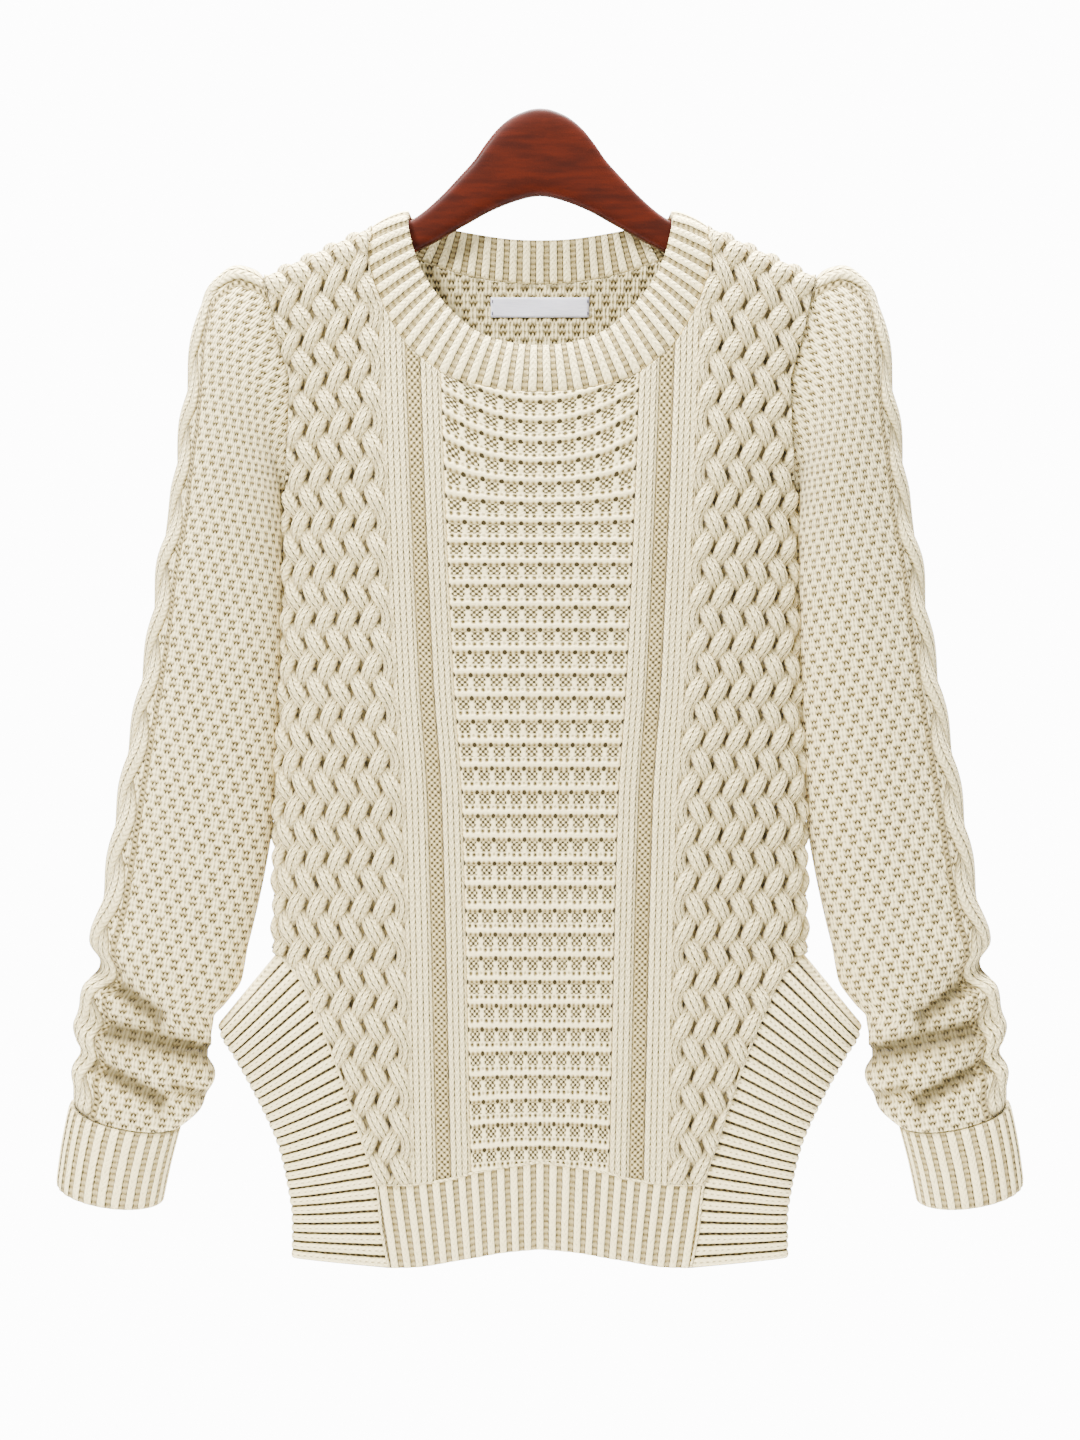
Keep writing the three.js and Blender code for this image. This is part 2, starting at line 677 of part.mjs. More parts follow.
function innerBody(face, rows, depth) {
  const surface = (s, q) => bodyPoint(-face * s, q, face);
  return raised(surface, bothSides(INNER_COLUMNS), rows, () => -depth);
}

function makeFront() {
  const skin = new Skin();
  const strips = [frontSide(-1, -1), frontMiddle(-1), frontSide(-1, 1)];
  const [left, middle, right] = strips.map((strip) => strip.map((row) => skin.row(row)));
  const endOf = (rows) => rows.map((row) => row[row.length - 1]);
  const startOf = (rows) => rows.map((row) => row[0]);
  [left, middle, right].forEach((rows) => skin.grid(rows));
  skin.zip(endOf(left), startOf(middle));
  skin.zip(endOf(middle), startOf(right));
  const inner = innerBody(-1, INNER_ROWS, WALL).map((row) => skin.row([...row].reverse()));
  skin.grid(inner);
  const top = [...left[0], ...middle[0], ...right[0]];
  const last = (rows) => rows[rows.length - 1];
  const bottom = [...last(left), ...last(middle), ...last(right)];
  skin.zip(endOf(right), startOf(inner));
  skin.zip(endOf(inner), startOf(left));
  skin.zip(top, [...inner[0]].reverse());
  skin.zip([...last(inner)].reverse(), bottom);
  return trimPanel(skin.solid(), -1);
}

function makeBack() {
  const surface = (s, q) => bodyPoint(-s, q, 1);
  const height = (s, q) => (q === 0 ? 0 : MOSS_RELIEF);
  const outer = raised(surface, bothSides(BACK_COLUMNS), BACK_ROWS, height);
  const inner = innerBody(1, INNER_ROWS, WALL);
  return trimPanel(panelWall(outer, inner), 1);
}

// Ribs: a valley and the two edges of a flat crest, and the plain wall behind them

function ribColumns(count) {
  const columns = [];
  for (let rib = 0; rib < count; rib += 1) {
    RIB_STEPS.forEach((step) => columns.push({ u: (rib + step.at) / count, height: step.height }));
  }
  return columns;
}

// Band between two front view curves, laid on the body: u runs along the seam and w from seam to edge
function bandPoint(seam, edge, u, w, face) {
  const a = seam.getPoint(THREE.MathUtils.clamp(u, 0, 1));
  const b = edge.getPoint(THREE.MathUtils.clamp(u, 0, 1));
  const x = a.x + (b.x - a.x) * w;
  const z = a.y + (b.y - a.y) * w;
  return { x, z, y: face * bodyY(x, z) };
}

// Point below the body's outer surface: drawn in by a depth, and at the side edge towards the middle plane
function insidePoint(point, face, depth, edging) {
  const width = bodyWidth(point.z);
  const slit = slitDepth(point.z);
  const inward = depth * Math.max(0, 1 - slit / depth);
  const share = Math.abs(point.x) / width;
  const x = point.x - Math.sign(point.x) * inward * edging * share ** EDGE_POWER;
  const y = Math.max(SEAM / 2, Math.abs(point.y) - depth);
  return new THREE.Vector3(x, face * y, point.z);
}

function outward(point, face, height) {
  const here = new THREE.Vector3(point.x, point.y, point.z);
  const h = 0.6;
  const width = bodyWidth(point.z);
  const x = THREE.MathUtils.clamp(point.x, -width + 2 * h, width - 2 * h);
  const slopeX = (bodyY(x + h, point.z) - bodyY(x - h, point.z)) / (2 * h);
  const normal = new THREE.Vector3(-slopeX, face, 0).normalize();
  return here.addScaledVector(normal, height);
}

function splineOf(points) {
  return new THREE.SplineCurve(points);
}

function makeSideBand(face, hand) {
  const gap = SEAM / 2;
  const seam = splineOf(beside(curve(SIDE_SEAM, 16), gap));
  const edge = splineOf(curve(SIDE_EDGE, 24));
  const place = (u, w) => {
    const point = bandPoint(seam, edge, u, w, face);
    point.y = face * Math.max(gap, Math.abs(point.y));
    return { ...point, x: hand * point.x };
  };
  const columns = [...ribColumns(SIDE_RIBS), { u: 1, height: 0 }];
  const across = spread(0, 1, 2);
  const outer = columns.map(({ u, height }) =>
    across.map((w) => {
      const point = outward(place(u, w), face, height * RIB_RELIEF);
      point.y = face * Math.max(gap, Math.abs(point.y));
      return point;
    }),
  );
  const edging = (w) => 0.1 + 0.9 * smooth(0, 0.5, w);
  const inner = spread(0, 1, 8).map((u) =>
    across.map((w) => insidePoint(place(u, w), face, RIB_WALL, edging(w))),
  );
  const flip = face * hand > 0;
  const turn = (rows) => (flip ? rows.map((row) => [...row].reverse()) : rows);
  return panelWall(turn(outer), turn(inner));
}

function makeHem(face) {
  const gap = SEAM / 2;
  const lowered = (point) => new THREE.Vector2(point.x, point.y - gap - CURVE_SLACK);
  const top = splineOf(fullWidth(curve(HEM_SEAM, 10)).map(lowered));
  const bottom = splineOf(fullWidth(curve(HEM_EDGE, 12)));
  const ends = 0.5 * (SEAM / SIDE_SEAM[6].x);
  const columns = [...ribColumns(HEM_RIBS), { u: 1, height: 0 }];
  const place = (u, w) => bandPoint(top, bottom, ends + u * (1 - 2 * ends), w, face);
  const down = [0, 1];
  const outer = down.map((w) =>
    columns.map(({ u, height }) => outward(place(u, w), face, height * RIB_RELIEF)),
  );
  const inner = down.map((w) => spread(0, 1, 8).map((u) => insidePoint(place(u, w), face, RIB_WALL, 0)));
  const turn = (rows) => (face > 0 ? rows.map((row) => [...row].reverse()) : rows);
  return panelWall(turn(outer), turn(inner));
}

// Points of the right half, from its end to the middle, made into the whole width from left to right
function fullWidth(half) {
  const left = half.map((point) => new THREE.Vector2(-point.x, point.y));
  return [...left, ...[...half].reverse().slice(1)];
}

// Neckband: a ring of ribs from its seam on the body to its free edge

function neckLoops() {
  const seam = [];
  const edge = [];
  const add = (row, hand) => {
    const gap = SEAM / 2 + 2 * CURVE_SLACK;
    const edgePoint = new THREE.Vector3(hand * row.edgeX, row.edgeY, row.edgeZ);
    const side = row.side || 0;
    const y = side === 0 ? 0 : side * bodyY(row.seamX, row.seamZ);
    const seamPoint = new THREE.Vector3(hand * row.seamX, y, row.seamZ);
    seamPoint.addScaledVector(edgePoint.clone().sub(seamPoint).normalize(), gap);
    seam.push(seamPoint);
    edge.push(edgePoint);
  };
  NECK.forEach((row) => add(row, 1));
  NECK.slice(1, -1).reverse().forEach((row) => add(row, -1));
  return [seam, edge].map((points) => new THREE.CatmullRomCurve3(points, true, 'centripetal'));
}

function makeNeckband() {
  const [seam, edge] = neckLoops();
  const surface = (u, w) => {
    const t = ((u % 1) + 1) % 1;
    const a = seam.getPoint(t);
    const b = edge.getPoint(t);
    return a.lerp(b, w);
  };
  const samples = 400;
  const lengths = [0];
  for (let i = 1; i <= samples; i += 1) {
    const piece = surface(i / samples, 0.5).distanceTo(surface((i - 1) / samples, 0.5));
    lengths.push(lengths[i - 1] + piece);
  }
  const even = (share) => {
    const goal = share * lengths[samples];
    let i = 1;
    while (i < samples && lengths[i] < goal) i += 1;
    return (i - 1 + (goal - lengths[i - 1]) / (lengths[i] - lengths[i - 1])) / samples;
  };
  const normal = (u, w) => {
    const along = surface(u + 0.002, w).sub(surface(u - 0.002, w));
    const across = surface(u, 1).sub(surface(u, 0));
    return along.cross(across).normalize();
  };
  const place = (u, w, height) => {
    const bulge = NECK_CROWN * 4 * w * (1 - w);
    return surface(u, w).addScaledVector(normal(u, w), bulge + height);
  };
  const down = [1, 0.5, 0];
  const ribs = ribColumns(NECK_RIBS).map(({ u, height }) => ({ u: even(u), height: height * RIB_RELIEF }));
  const outer = down.map((w) => ribs.map(({ u, height }) => place(u, w, height)));
  const plain = spread(0, 1, 40).slice(0, -1).map(even);
  const inner = down.map((w) => plain.map((u) => place(u, w, -RIB_WALL)));
  return tubeWall(outer, inner);
}

// Sleeves and cuffs

function sections(rows) {
  const table = numbered(rows);
  const names = ['outerX', 'outerZ', 'innerX', 'innerZ', 'depth', 'tilt'];
  const [outerX, outerZ, innerX, innerZ, depth, tilt] = names.map((name) => column(table, 'index', name));
  return (v) => ({
    outer: new THREE.Vector3(outerX(v), 0, outerZ(v)),
    inner: new THREE.Vector3(innerX(v), 0, innerZ(v)),
    depth: depth(v),
    tilt: tilt(v),
  });
}

function insetSection(section, inset) {
  const axis = section.outer.clone().sub(section.inner).normalize();
  return {
    ...section,
    outer: section.outer.clone().addScaledVector(axis, -inset),
    inner: section.inner.clone().addScaledVector(axis, inset),
    depth: section.depth - inset,
  };
}

// Point of a section: angle 0 is the outer line, 90 degrees the front and 180 degrees the inner line
function sectionPoint(section, angle, relief) {
  const axis = section.outer.clone().sub(section.inner);
  const length = axis.length();
  axis.normalize();
  const outer = section.outer.clone().addScaledVector(axis, -relief);
  const middle = outer.clone().add(section.inner).multiplyScalar(0.5);
  const half = (length - relief) / 2;
  const point = middle.addScaledVector(axis, half * Math.cos(angle));
  point.y = -section.depth * Math.sin(angle);
  point.z -= section.tilt * Math.sin(angle);
  return point;
}

// Point of the armhole's loop, or of the loop inside the wall when it is inset
function armholePoint(angle, inset) {
  const top = ARMHOLE[0].z - inset;
  const bottom = ARMHOLE[ARMHOLE.length - 1].z + 2 * CURVE_SLACK + inset;
  const z = (top + bottom) / 2 + ((top - bottom) / 2) * Math.cos(angle);
  const x = armholeX(z);
  const turn = Math.sin(angle);
  const depth = Math.max(Math.abs(turn), bodyY(x, z) - inset);
  const y = Math.abs(turn) < 1e-6 ? 0 : -Math.sign(turn) * depth;
  return new THREE.Vector3(x + SEAM / 2 + 2 * CURVE_SLACK, y, z);
}

const sleeveAt = sections(SLEEVE);
const cuffAt = sections(CUFF);

function sleevePoint(angle, v, inset) {
  const along = THREE.MathUtils.clamp(v, 0, SLEEVE.length - 1);
  const point = sectionPoint(insetSection(sleeveAt(along), inset), angle, ROPE_RELIEF);
  const head = Math.max(0, 1 - along / HEAD_SECTIONS) ** 2;
  return head > 0 ? point.lerp(armholePoint(angle, inset), head) : point;
}

// How far the creases at the wrist draw the cloth in at a place in the front view
function crease(x, z) {
  return CREASES.reduce((sum, row) => {
    const dx = row.x2 - row.x1;
    const dz = row.z2 - row.z1;
    const share = ((x - row.x1) * dx + (z - row.z1) * dz) / (dx * dx + dz * dz);
    const near = THREE.MathUtils.clamp(share, 0, 1);
    const away = Math.hypot(x - row.x1 - near * dx, z - row.z1 - near * dz) / row.width;
    return sum + row.depth * Math.exp(-away * away);
  }, 0);
}

// Rope cable on the outer line: two strands that part and cross
function ropeHeight(angle, length) {
  const degrees = THREE.MathUtils.radToDeg(angle > Math.PI ? angle - 2 * Math.PI : angle);
  const phase = Math.cos((Math.PI * length) / ROPE.crossing);
  const strand = (centre) => {
    const away = (degrees - centre) / ROPE.halfWidth;
    return Math.max(0, 1 - away * away) * (1 - ROPE.sink * Math.abs(phase));
  };
  return ROPE_RELIEF * Math.max(strand(ROPE.swing * phase), strand(-ROPE.swing * phase));
}

function sleeveAngles(steps) {
  return steps.map((degrees) => THREE.MathUtils.degToRad(degrees));
}

// Section numbers at even lengths along the outer line
function evenSections(step, fineStep, fineFrom) {
  const rows = [];
  const last = SLEEVE.length - 1;
  let length = 0;
  let next = 0;
  let before = sleeveAt(0).outer;
  for (let v = 0; v <= last + 1e-9; v += 0.02) {
    const here = sleeveAt(v).outer;
    length += here.distanceTo(before);
    before = here;
    if (length >= next) {
      rows.push({ v, length });
      next += length > fineFrom ? fineStep : step;
    }
  }
  rows[rows.length - 1].v = last;
  return rows;
}

function makeSleeve() {
  const rows = evenSections(SLEEVE_ROWS.step, SLEEVE_ROWS.wristStep, SLEEVE_ROWS.wristFrom);
  const outerAngles = sleeveAngles(ROPE_ANGLES);
  const innerAngles = sleeveAngles(PLAIN_ANGLES);
  const normal = (angle, v) => {
    const h = 0.04;
    const round = sleevePoint(angle + h, v, 0).sub(sleevePoint(angle - h, v, 0));
    const down = sleevePoint(angle, v + h, 0).sub(sleevePoint(angle, v - h, 0));
    return round.cross(down).normalize();
  };
  const place = (angle, row, height, inset) => {
    const outer = sleevePoint(angle, row.v, 0);
    const side = Math.abs(Math.sin(angle));
    const drawn = crease(outer.x, outer.z) * (CREASE_AT_EDGES + (1 - CREASE_AT_EDGES) * side);
    return sleevePoint(angle, row.v, inset).addScaledVector(normal(angle, row.v), height - drawn);
  };
  const ropeStart = (row) => smooth(0, 1.2, row.v);
  const relief = (angle, row) => Math.max(ropeHeight(angle, row.length), MOSS_RELIEF / 2) * ropeStart(row);
  const outer = rows.map((row) => outerAngles.map((angle) => place(angle, row, relief(angle, row), 0)));
  const atWrist = (row) => row.v > SLEEVE_ROWS.wristSection;
  const innerRows = rows.filter((row, i) => i % 3 === 0 || atWrist(row));
  const inner = innerRows.map((row) => innerAngles.map((angle) => place(angle, row, 0, WALL)));
  const turn = (list) => list.map((row) => [row[0], ...row.slice(1).reverse()]);
  return tubeWall(turn(outer), turn(inner));
}

function makeCuff() {
  const ribs = ribColumns(CUFF_RIBS);
  const place = (u, v, height) => {
    const section = cuffAt(v);
    const wide = { ...section, depth: section.depth + height };
    return sectionPoint(wide, u * 2 * Math.PI, RIB_RELIEF - height);
  };
  const down = [0, CUFF.length - 1];
  const outer = down.map((v) => ribs.map(({ u, height }) => place(u, v, height * RIB_RELIEF)));
  const plain = spread(0, 1, 16).slice(0, -1);
  const inner = down.map((v) =>
    plain.map((u) => sectionPoint(insetSection(cuffAt(v), RIB_WALL), u * 2 * Math.PI, RIB_RELIEF)),
  );
  const turn = (list) => list.map((row) => [row[0], ...row.slice(1).reverse()]);
  return tubeWall(turn(outer), turn(inner));
}

// Blank label on the inside of the back, below the neckband
function makeLabel() {
  const surface = (s, q) => bodyPoint(s, q, 1);
  const across = spread(-LABEL.halfWidth, LABEL.halfWidth, 8);
  const rowAt = (z) => {
    let q = 20;
    while (rowZ(0, q) > z) q += 0.25;
    return q;
  };
  const rows = spread(rowAt(LABEL.top), rowAt(LABEL.bottom), 2);
  const sheet = (inward) => raised(surface, across, rows, () => inward);
  return panelWall(sheet(WALL + SEAM + LABEL.thickness), sheet(WALL + SEAM));
}

// Wooden hanger: its front view outline with rounded edges
function makeHanger() {
  const tipTop = shoulderZ(HANGER.tipX) - WALL - HANGER.tipDrop;
  const right = [
    ...HANGER_ARM.map((row) => new THREE.Vector2(row.x, row.top)),
    ...HANGER_TIP.map((row) => new THREE.Vector2(HANGER.tipX - row.in, tipTop - row.down)),
    ...HANGER_ARM.map((row) => new THREE.Vector2(row.x, row.under)).reverse(),
  ];
  const left = right
    .filter((point) => point.x > 0)
    .reverse()
    .map((point) => new THREE.Vector2(-point.x, point.y));
  const shape = new THREE.Shape([...right, ...left]);
  const depth = 2 * (HANGER.halfThickness - HANGER.bevel);
  const geometry = new THREE.ExtrudeGeometry(shape, {
    depth,
    bevelEnabled: true,
    bevelSize: HANGER.bevel,
    bevelOffset: -HANGER.bevel,
    bevelThickness: HANGER.bevel,
    bevelSegments: 2,
  });
  geometry.rotateX(Math.PI / 2);
  geometry.translate(0, depth / 2, 0);
  return fromGeometry(geometry);
}

// Scene graph

const WOOL = { color: 0xe6dcc2, roughness: 0.95, metalness: 0 };
const SATIN = { color: 0xdcdce6, roughness: 0.45, metalness: 0 };
const WOOD = { color: 0x8c3a12, roughness: 0.35, metalness: 0 };

function mesh(name, solid, look) {
  const { vertProperties, triVerts } = solid.getMesh();
  const geometry = new THREE.BufferGeometry();
  geometry.setAttribute('position', new THREE.BufferAttribute(vertProperties, 3));
  geometry.setIndex(new THREE.BufferAttribute(triVerts, 1));
  geometry.computeVertexNormals();
  const made = new THREE.Mesh(geometry, new THREE.MeshStandardMaterial(look));
  made.name = name;
  return made;
}

const sweater = new THREE.Group();
const sleeve = makeSleeve();
const cuff = makeCuff();

sweater.add(mesh('front', makeFront(), WOOL));
sweater.add(mesh('back', makeBack(), WOOL));
sweater.add(mesh('sleeve_left', sleeve, WOOL));
sweater.add(mesh('sleeve_right', sleeve.mirror([1, 0, 0]), WOOL));
sweater.add(mesh('cuff_left', cuff, WOOL));
sweater.add(mesh('cuff_right', cuff.mirror([1, 0, 0]), WOOL));
sweater.add(mesh('neckband', makeNeckband(), WOOL));
sweater.add(mesh('hem_front', makeHem(-1), WOOL));
sweater.add(mesh('hem_back', makeHem(1), WOOL));
sweater.add(mesh('side_band_front_left', makeSideBand(-1, 1), WOOL));
sweater.add(mesh('side_band_front_right', makeSideBand(-1, -1), WOOL));
sweater.add(mesh('side_band_back_left', makeSideBand(1, 1), WOOL));
sweater.add(mesh('side_band_back_right', makeSideBand(1, -1), WOOL));
sweater.add(mesh('neck_label', makeLabel(), SATIN));
sweater.add(mesh('hanger', makeHanger(), WOOD));

export default sweater;
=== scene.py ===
"""Looks of a cream cable knit pullover on a wooden hanger.

Lengths are in millimetres, in the part's frame: +Z up, the front faces -Y, the wearer's left is at +X.
Each piece of cloth is a closed shell on its solid's form, and the cables and columns lie on it.
"""

import math

import bpy
import numpy as np
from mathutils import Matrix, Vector


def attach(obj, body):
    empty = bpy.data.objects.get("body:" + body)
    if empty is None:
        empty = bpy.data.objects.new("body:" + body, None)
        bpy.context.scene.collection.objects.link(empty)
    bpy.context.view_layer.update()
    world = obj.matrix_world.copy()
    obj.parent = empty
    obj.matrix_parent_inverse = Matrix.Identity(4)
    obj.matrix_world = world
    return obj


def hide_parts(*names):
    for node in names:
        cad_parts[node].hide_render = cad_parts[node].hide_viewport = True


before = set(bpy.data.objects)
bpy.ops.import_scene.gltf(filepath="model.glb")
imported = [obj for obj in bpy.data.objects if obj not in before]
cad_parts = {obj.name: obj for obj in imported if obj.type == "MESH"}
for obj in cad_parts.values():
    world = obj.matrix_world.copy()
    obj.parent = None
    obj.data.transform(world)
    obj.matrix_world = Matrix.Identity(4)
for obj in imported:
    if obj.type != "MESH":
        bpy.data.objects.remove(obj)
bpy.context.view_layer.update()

MM = 0.001

# Sizes that the solids share

SEAM = 0.3
WALL = 3.2
RIB_WALL = 2.8
RIB_RELIEF = 1.5
KNIT_RELIEF = 1.6
SECTION_POWER = 2.4
SECTION_STEPS = 40
SHOULDER_ROUND = 12
SHOULDER_NECK = (106.6, -76.5)
SHOULDER_SLOPE = 0.458
SHOULDER_FLAT = 100
SHOULDER_MIDDLE = -90
SHOULDER_FADE = 170
CABLE_PITCH = 14.3
CABLE_REPEAT = 14.8
INNER_COLUMN = 12.5
OUTER_COLUMN = 14
PURL_HALF = 4.5
SMILE = 18
ARCH = 14
ARCH_HALF_WIDTH = 101
NECK_RIBS = 62
HEM_RIBS = 25
SIDE_RIBS = 29
CUFF_RIBS = 24
CUFF_LENGTH = 50
NECK_CROWN = 1.6
ROPE_CROSSING = 46
ROPE_RELIEF = 3.0
PANEL_END = 600
PANEL_REACH = 195
HEAD_SECTIONS = 2.5
EDGE_POWER = 16

# Sizes of the knitting

COURSE = 3.8
WAFFLE_CELLS = 10
MOSS_WALES = 9.3
MOSS_ROWS = 16.4
RIB_SAMPLES = 9
ROOT_DEPTH = 1.0


def table(names, rows):
    """Columns of a table by name"""
    return dict(zip(names.split(), np.array(rows, float).T))


# Body section at each height: half-width, depth from the middle plane, half the side slit's opening
BODY = table("z width depth slit", [
    (-50, 185, 12.5, 0), (-95, 185, 13.2, 0), (-107, 185, 15, 0), (-125, 183, 17.5, 0),
    (-150, 175, 20.8, 0), (-172, 169, 23.6, 0), (-203, 166.5, 27, 0), (-230, 162, 29.5, 0),
    (-241, 159, 30.2, 0), (-283, 158.2, 32.5, 0), (-320, 158.8, 33.5, 0), (-370, 160.6, 35, 0),
    (-423, 163.3, 35.5, 0), (-503, 163.3, 35.5, 0), (-527, 163.5, 35.3, 0), (-536, 171, 35.2, 0),
    (-551, 182.3, 35, 0), (-559, 191, 34.8, 0), (-567, 198.5, 34.6, 0), (-572, 200.4, 34.5, 0),
    (-580, 198.6, 34.2, 2.5), (-591, 191.6, 34, 5), (-603, 184.4, 33.5, 7), (-621, 174.5, 33, 9.5),
    (-648, 162.1, 32, 12.5), (-678, 155.2, 31, 15), (-692, 153.4, 30.5, 16), (-735, 153.4, 29.5, 18),
])
ARMHOLE = table("z x", [
    (-106.6, 172.4), (-117, 169.5), (-151, 161.8), (-172, 156), (-203, 157), (-230, 158.4), (-241, 159),
])
PURL_LINE = table("z x", [
    (-50, 82), (-162, 78.7), (-360, 70.1), (-432, 65.1), (-660, 59.5), (-720, 58),
])
WELT_PITCH = table("z pitch", [
    (-150, 10.8), (-212, 11.4), (-255, 12.1), (-300, 13.3), (-342, 14), (-430, 14.6), (-720, 14.6),
])
SIDE_SEAM = table("x z", [
    (163.5, -527), (148.8, -541.9), (138.9, -562.3), (131.4, -579.7), (119.7, -611.3),
    (108.5, -646), (101.1, -669), (97.3, -700), (93, -721.1),
])
BELOW_TIP = BODY["z"] <= -572
SIDE_EDGE = {"x": BODY["width"][BELOW_TIP], "z": np.append(BODY["z"][BELOW_TIP][:-1], -716.1)}
HEM_SEAM = table("x z", [
    (101.1, -669), (80, -669), (56.4, -665.9), (43.4, -662.2), (24.8, -658.4), (0, -655),
])
HEM_EDGE = table("x z", [
    (93, -721.1), (73.6, -720.3), (52, -716.6), (40, -714.6), (22.8, -711.5), (0, -709.3),
])

# Neckband from the front centre over the shoulder to the back centre: seam on the body, and free edge
NECK = table("side seam_x seam_z edge_x edge_z edge_y", [
    (-1, 0, -179.5, 0, -150, -20), (-1, 21.1, -178.4, 16, -148.9, -20),
    (-1, 44.6, -173.6, 33, -144.2, -19.4), (-1, 62, -166.6, 46, -136.6, -18.4),
    (-1, 83.1, -148.8, 61, -121.4, -16.4), (-1, 94.5, -130.5, 70.1, -109.1, -14.6),
    (-1, 103, -111, 76.9, -94.9, -12.8), (-1, 107.2, -91.5, 81.2, -79, -10.8),
    (-1, 106, -79, 82.8, -69.6, -8.6), (0, 105, -75.8, 82, -64.7, 0),
    (1, 102, -77.5, 80.6, -67, 8.8), (1, 92, -85.5, 73, -69.6, 11),
    (1, 70, -95.6, 60, -73.2, 12.4), (1, 44.6, -102.9, 41, -76.8, 13),
    (1, 21, -106.8, 20, -79.8, 13.3), (1, 0, -107.9, 0, -80.6, 13.4),
])

# Sleeve sections from the armhole to the cuff: outer line, inner line, half depth, and how far the
# front of the section hangs below its back
SLEEVE = table("outer_x outer_z inner_x inner_z depth tilt", [
    (172.4, -104, 159.4, -241, 12, 0), (181, -100.2, 163.6, -242, 15, 0),
    (189.5, -98.6, 165, -244.8, 17.5, 0), (199, -104, 165.6, -248.5, 20, 0),
    (207.7, -112.8, 166.2, -252.5, 22, 0), (213.3, -128.3, 166.6, -258.5, 24, 0),
    (217.6, -148.2, 166.8, -266, 25, 0), (221, -172, 166.9, -277, 26, 0),
    (226.3, -205.8, 167, -294, 26, 0), (231.3, -244.9, 167.1, -315, 26, 0),
    (238.5, -276, 167.2, -335, 26, 1), (242.6, -306.3, 167.4, -356, 25.5, 1),
    (247.5, -336, 167.9, -379, 25, 2), (253.6, -368.9, 168.8, -404, 24.5, 2),
    (263.5, -419.7, 171, -444, 23.5, 3), (270, -458, 175, -477, 22.5, 3),
    (276.5, -497, 181.5, -512, 22, 4), (281.5, -513, 183.5, -525, 22, 4),
    (283.3, -522, 185, -534, 22.5, 5), (281.4, -533, 187.2, -545, 21.5, 5),
    (287.1, -548, 196.5, -558.5, 23, 6), (288.5, -558, 204.6, -568, 22, 7),
    (291, -565, 205, -577, 21.5, 7), (294, -572, 202.4, -586, 21, 8),
    (293.8, -578, 205.4, -592, 18.5, 8), (292.8, -586, 203.4, -602, 20, 9),
    (293.5, -598, 205.4, -613, 19.5, 9), (292.4, -609, 212, -624, 18, 9),
    (294.3, -621, 224, -634.4, 16.5, 9),
])
CUFF = table("outer_x outer_z inner_x inner_z depth tilt", [
    (294.9, -621.9, 224.3, -635.3, 16.5, 9), (299.6, -646, 230.2, -658, 17, 9),
    (303.2, -672, 235.2, -681.5, 17.5, 9),
])

# Creases at the wrist in the front view, from one end to the other
CREASES = table("x1 z1 x2 z2 depth width", [
    (283, -532, 238, -564, 11, 8), (276, -571, 199, -589, 12.5, 8.5),
    (287, -590, 236, -617, 10, 7), (226, -610, 205, -617, 7, 6),
])
DEEP_CREASE = 9

# Hanger in the front view: height of its top and its underside at each distance from the middle
HANGER_ARM = table("x top under", [
    (0, 0, -54.6), (6.8, -0.9, -55.4), (16.7, -5, -58.2), (26, -12.4, -61.8), (34.1, -22.3, -65.6),
    (41.5, -32.9, -69.8), (51.5, -44, -75.4), (60.8, -53.9, -80.8), (71.9, -64, -86.8),
    (82, -70.6, -91.6), (105, -81.4, -101), (135, -94.6, -113.6), (149, -104.5, -117.2), (152, -109, -113),
])
HANGER_HALF_THICKNESS = 6
HANGER_POWER = 4.5


# Curves

def column(rows, key, name):
    """Smooth curve through a table's column, with no overshoot between rows"""
    t, y = rows[key], rows[name]
    if t[0] > t[-1]:
        t, y = t[::-1], y[::-1]
    rate = np.diff(y) / np.diff(t)
    before, after = rate[:-1], rate[1:]
    total = np.where(before + after == 0, 1, before + after)
    middle = np.where(before * after <= 0, 0, 2 * before * after / total)
    slope = np.concatenate([rate[:1], middle, rate[-1:]])

    def read(at):
        i = np.clip(np.searchsorted(t, at) - 1, 0, len(t) - 2)
        step = t[i + 1] - t[i]
        u = np.clip((at - t[i]) / step, 0, 1)
        ends = y[i] * (2 * u**3 - 3 * u**2 + 1) + y[i + 1] * (3 * u**2 - 2 * u**3)
        return ends + step * (slope[i] * (u**3 - 2 * u**2 + u) + slope[i + 1] * (u**3 - u**2))

    return read


def spline(points, t, closed=False):
    """Points at shares t of a spline through the given points"""
    count = len(points)
    if closed:
        at = (np.asarray(t) % 1) * count
        i = np.floor(at).astype(int)
        ids = [(i + step) % count for step in (-1, 0, 1, 2)]
    else:
        at = np.clip(t, 0, 1) * (count - 1)
        i = np.minimum(np.floor(at).astype(int), count - 2)
        ids = [np.clip(i + step, 0, count - 1) for step in (-1, 0, 1, 2)]
    a, b, c, d = (points[index] for index in ids)
    u = (at - i)[..., None]
    out, into = (c - a) / 2, (d - b) / 2
    return (2 * (b - c) + out + into) * u**3 + (3 * (c - b) - 2 * out - into) * u**2 + out * u + b


def run(path):
    """Length along a path from its start to each of its points"""
    return np.concatenate([[0], np.cumsum(np.linalg.norm(np.diff(path, axis=0), axis=1))])


def spaced(points, count, closed=False):
    """Points at even distances along a spline"""
    fine = spline(points, np.linspace(0, 1, 40 * len(points)), closed)
    lengths = run(fine)
    goals = np.linspace(0, lengths[-1], count + 1)
    return np.stack([np.interp(goals, lengths, fine[:, axis]) for axis in range(fine.shape[1])], 1)


def flat_curve(rows, count):
    return spaced(np.stack([rows["x"], rows["z"]], 1), count)


def smooth(low, high, value):
    u = np.clip((value - low) / (high - low), 0, 1)
    return u * u * (3 - 2 * u)


def unit(vectors):
    return vectors / np.maximum(np.linalg.norm(vectors, axis=-1, keepdims=True), 1e-9)


# The body's form

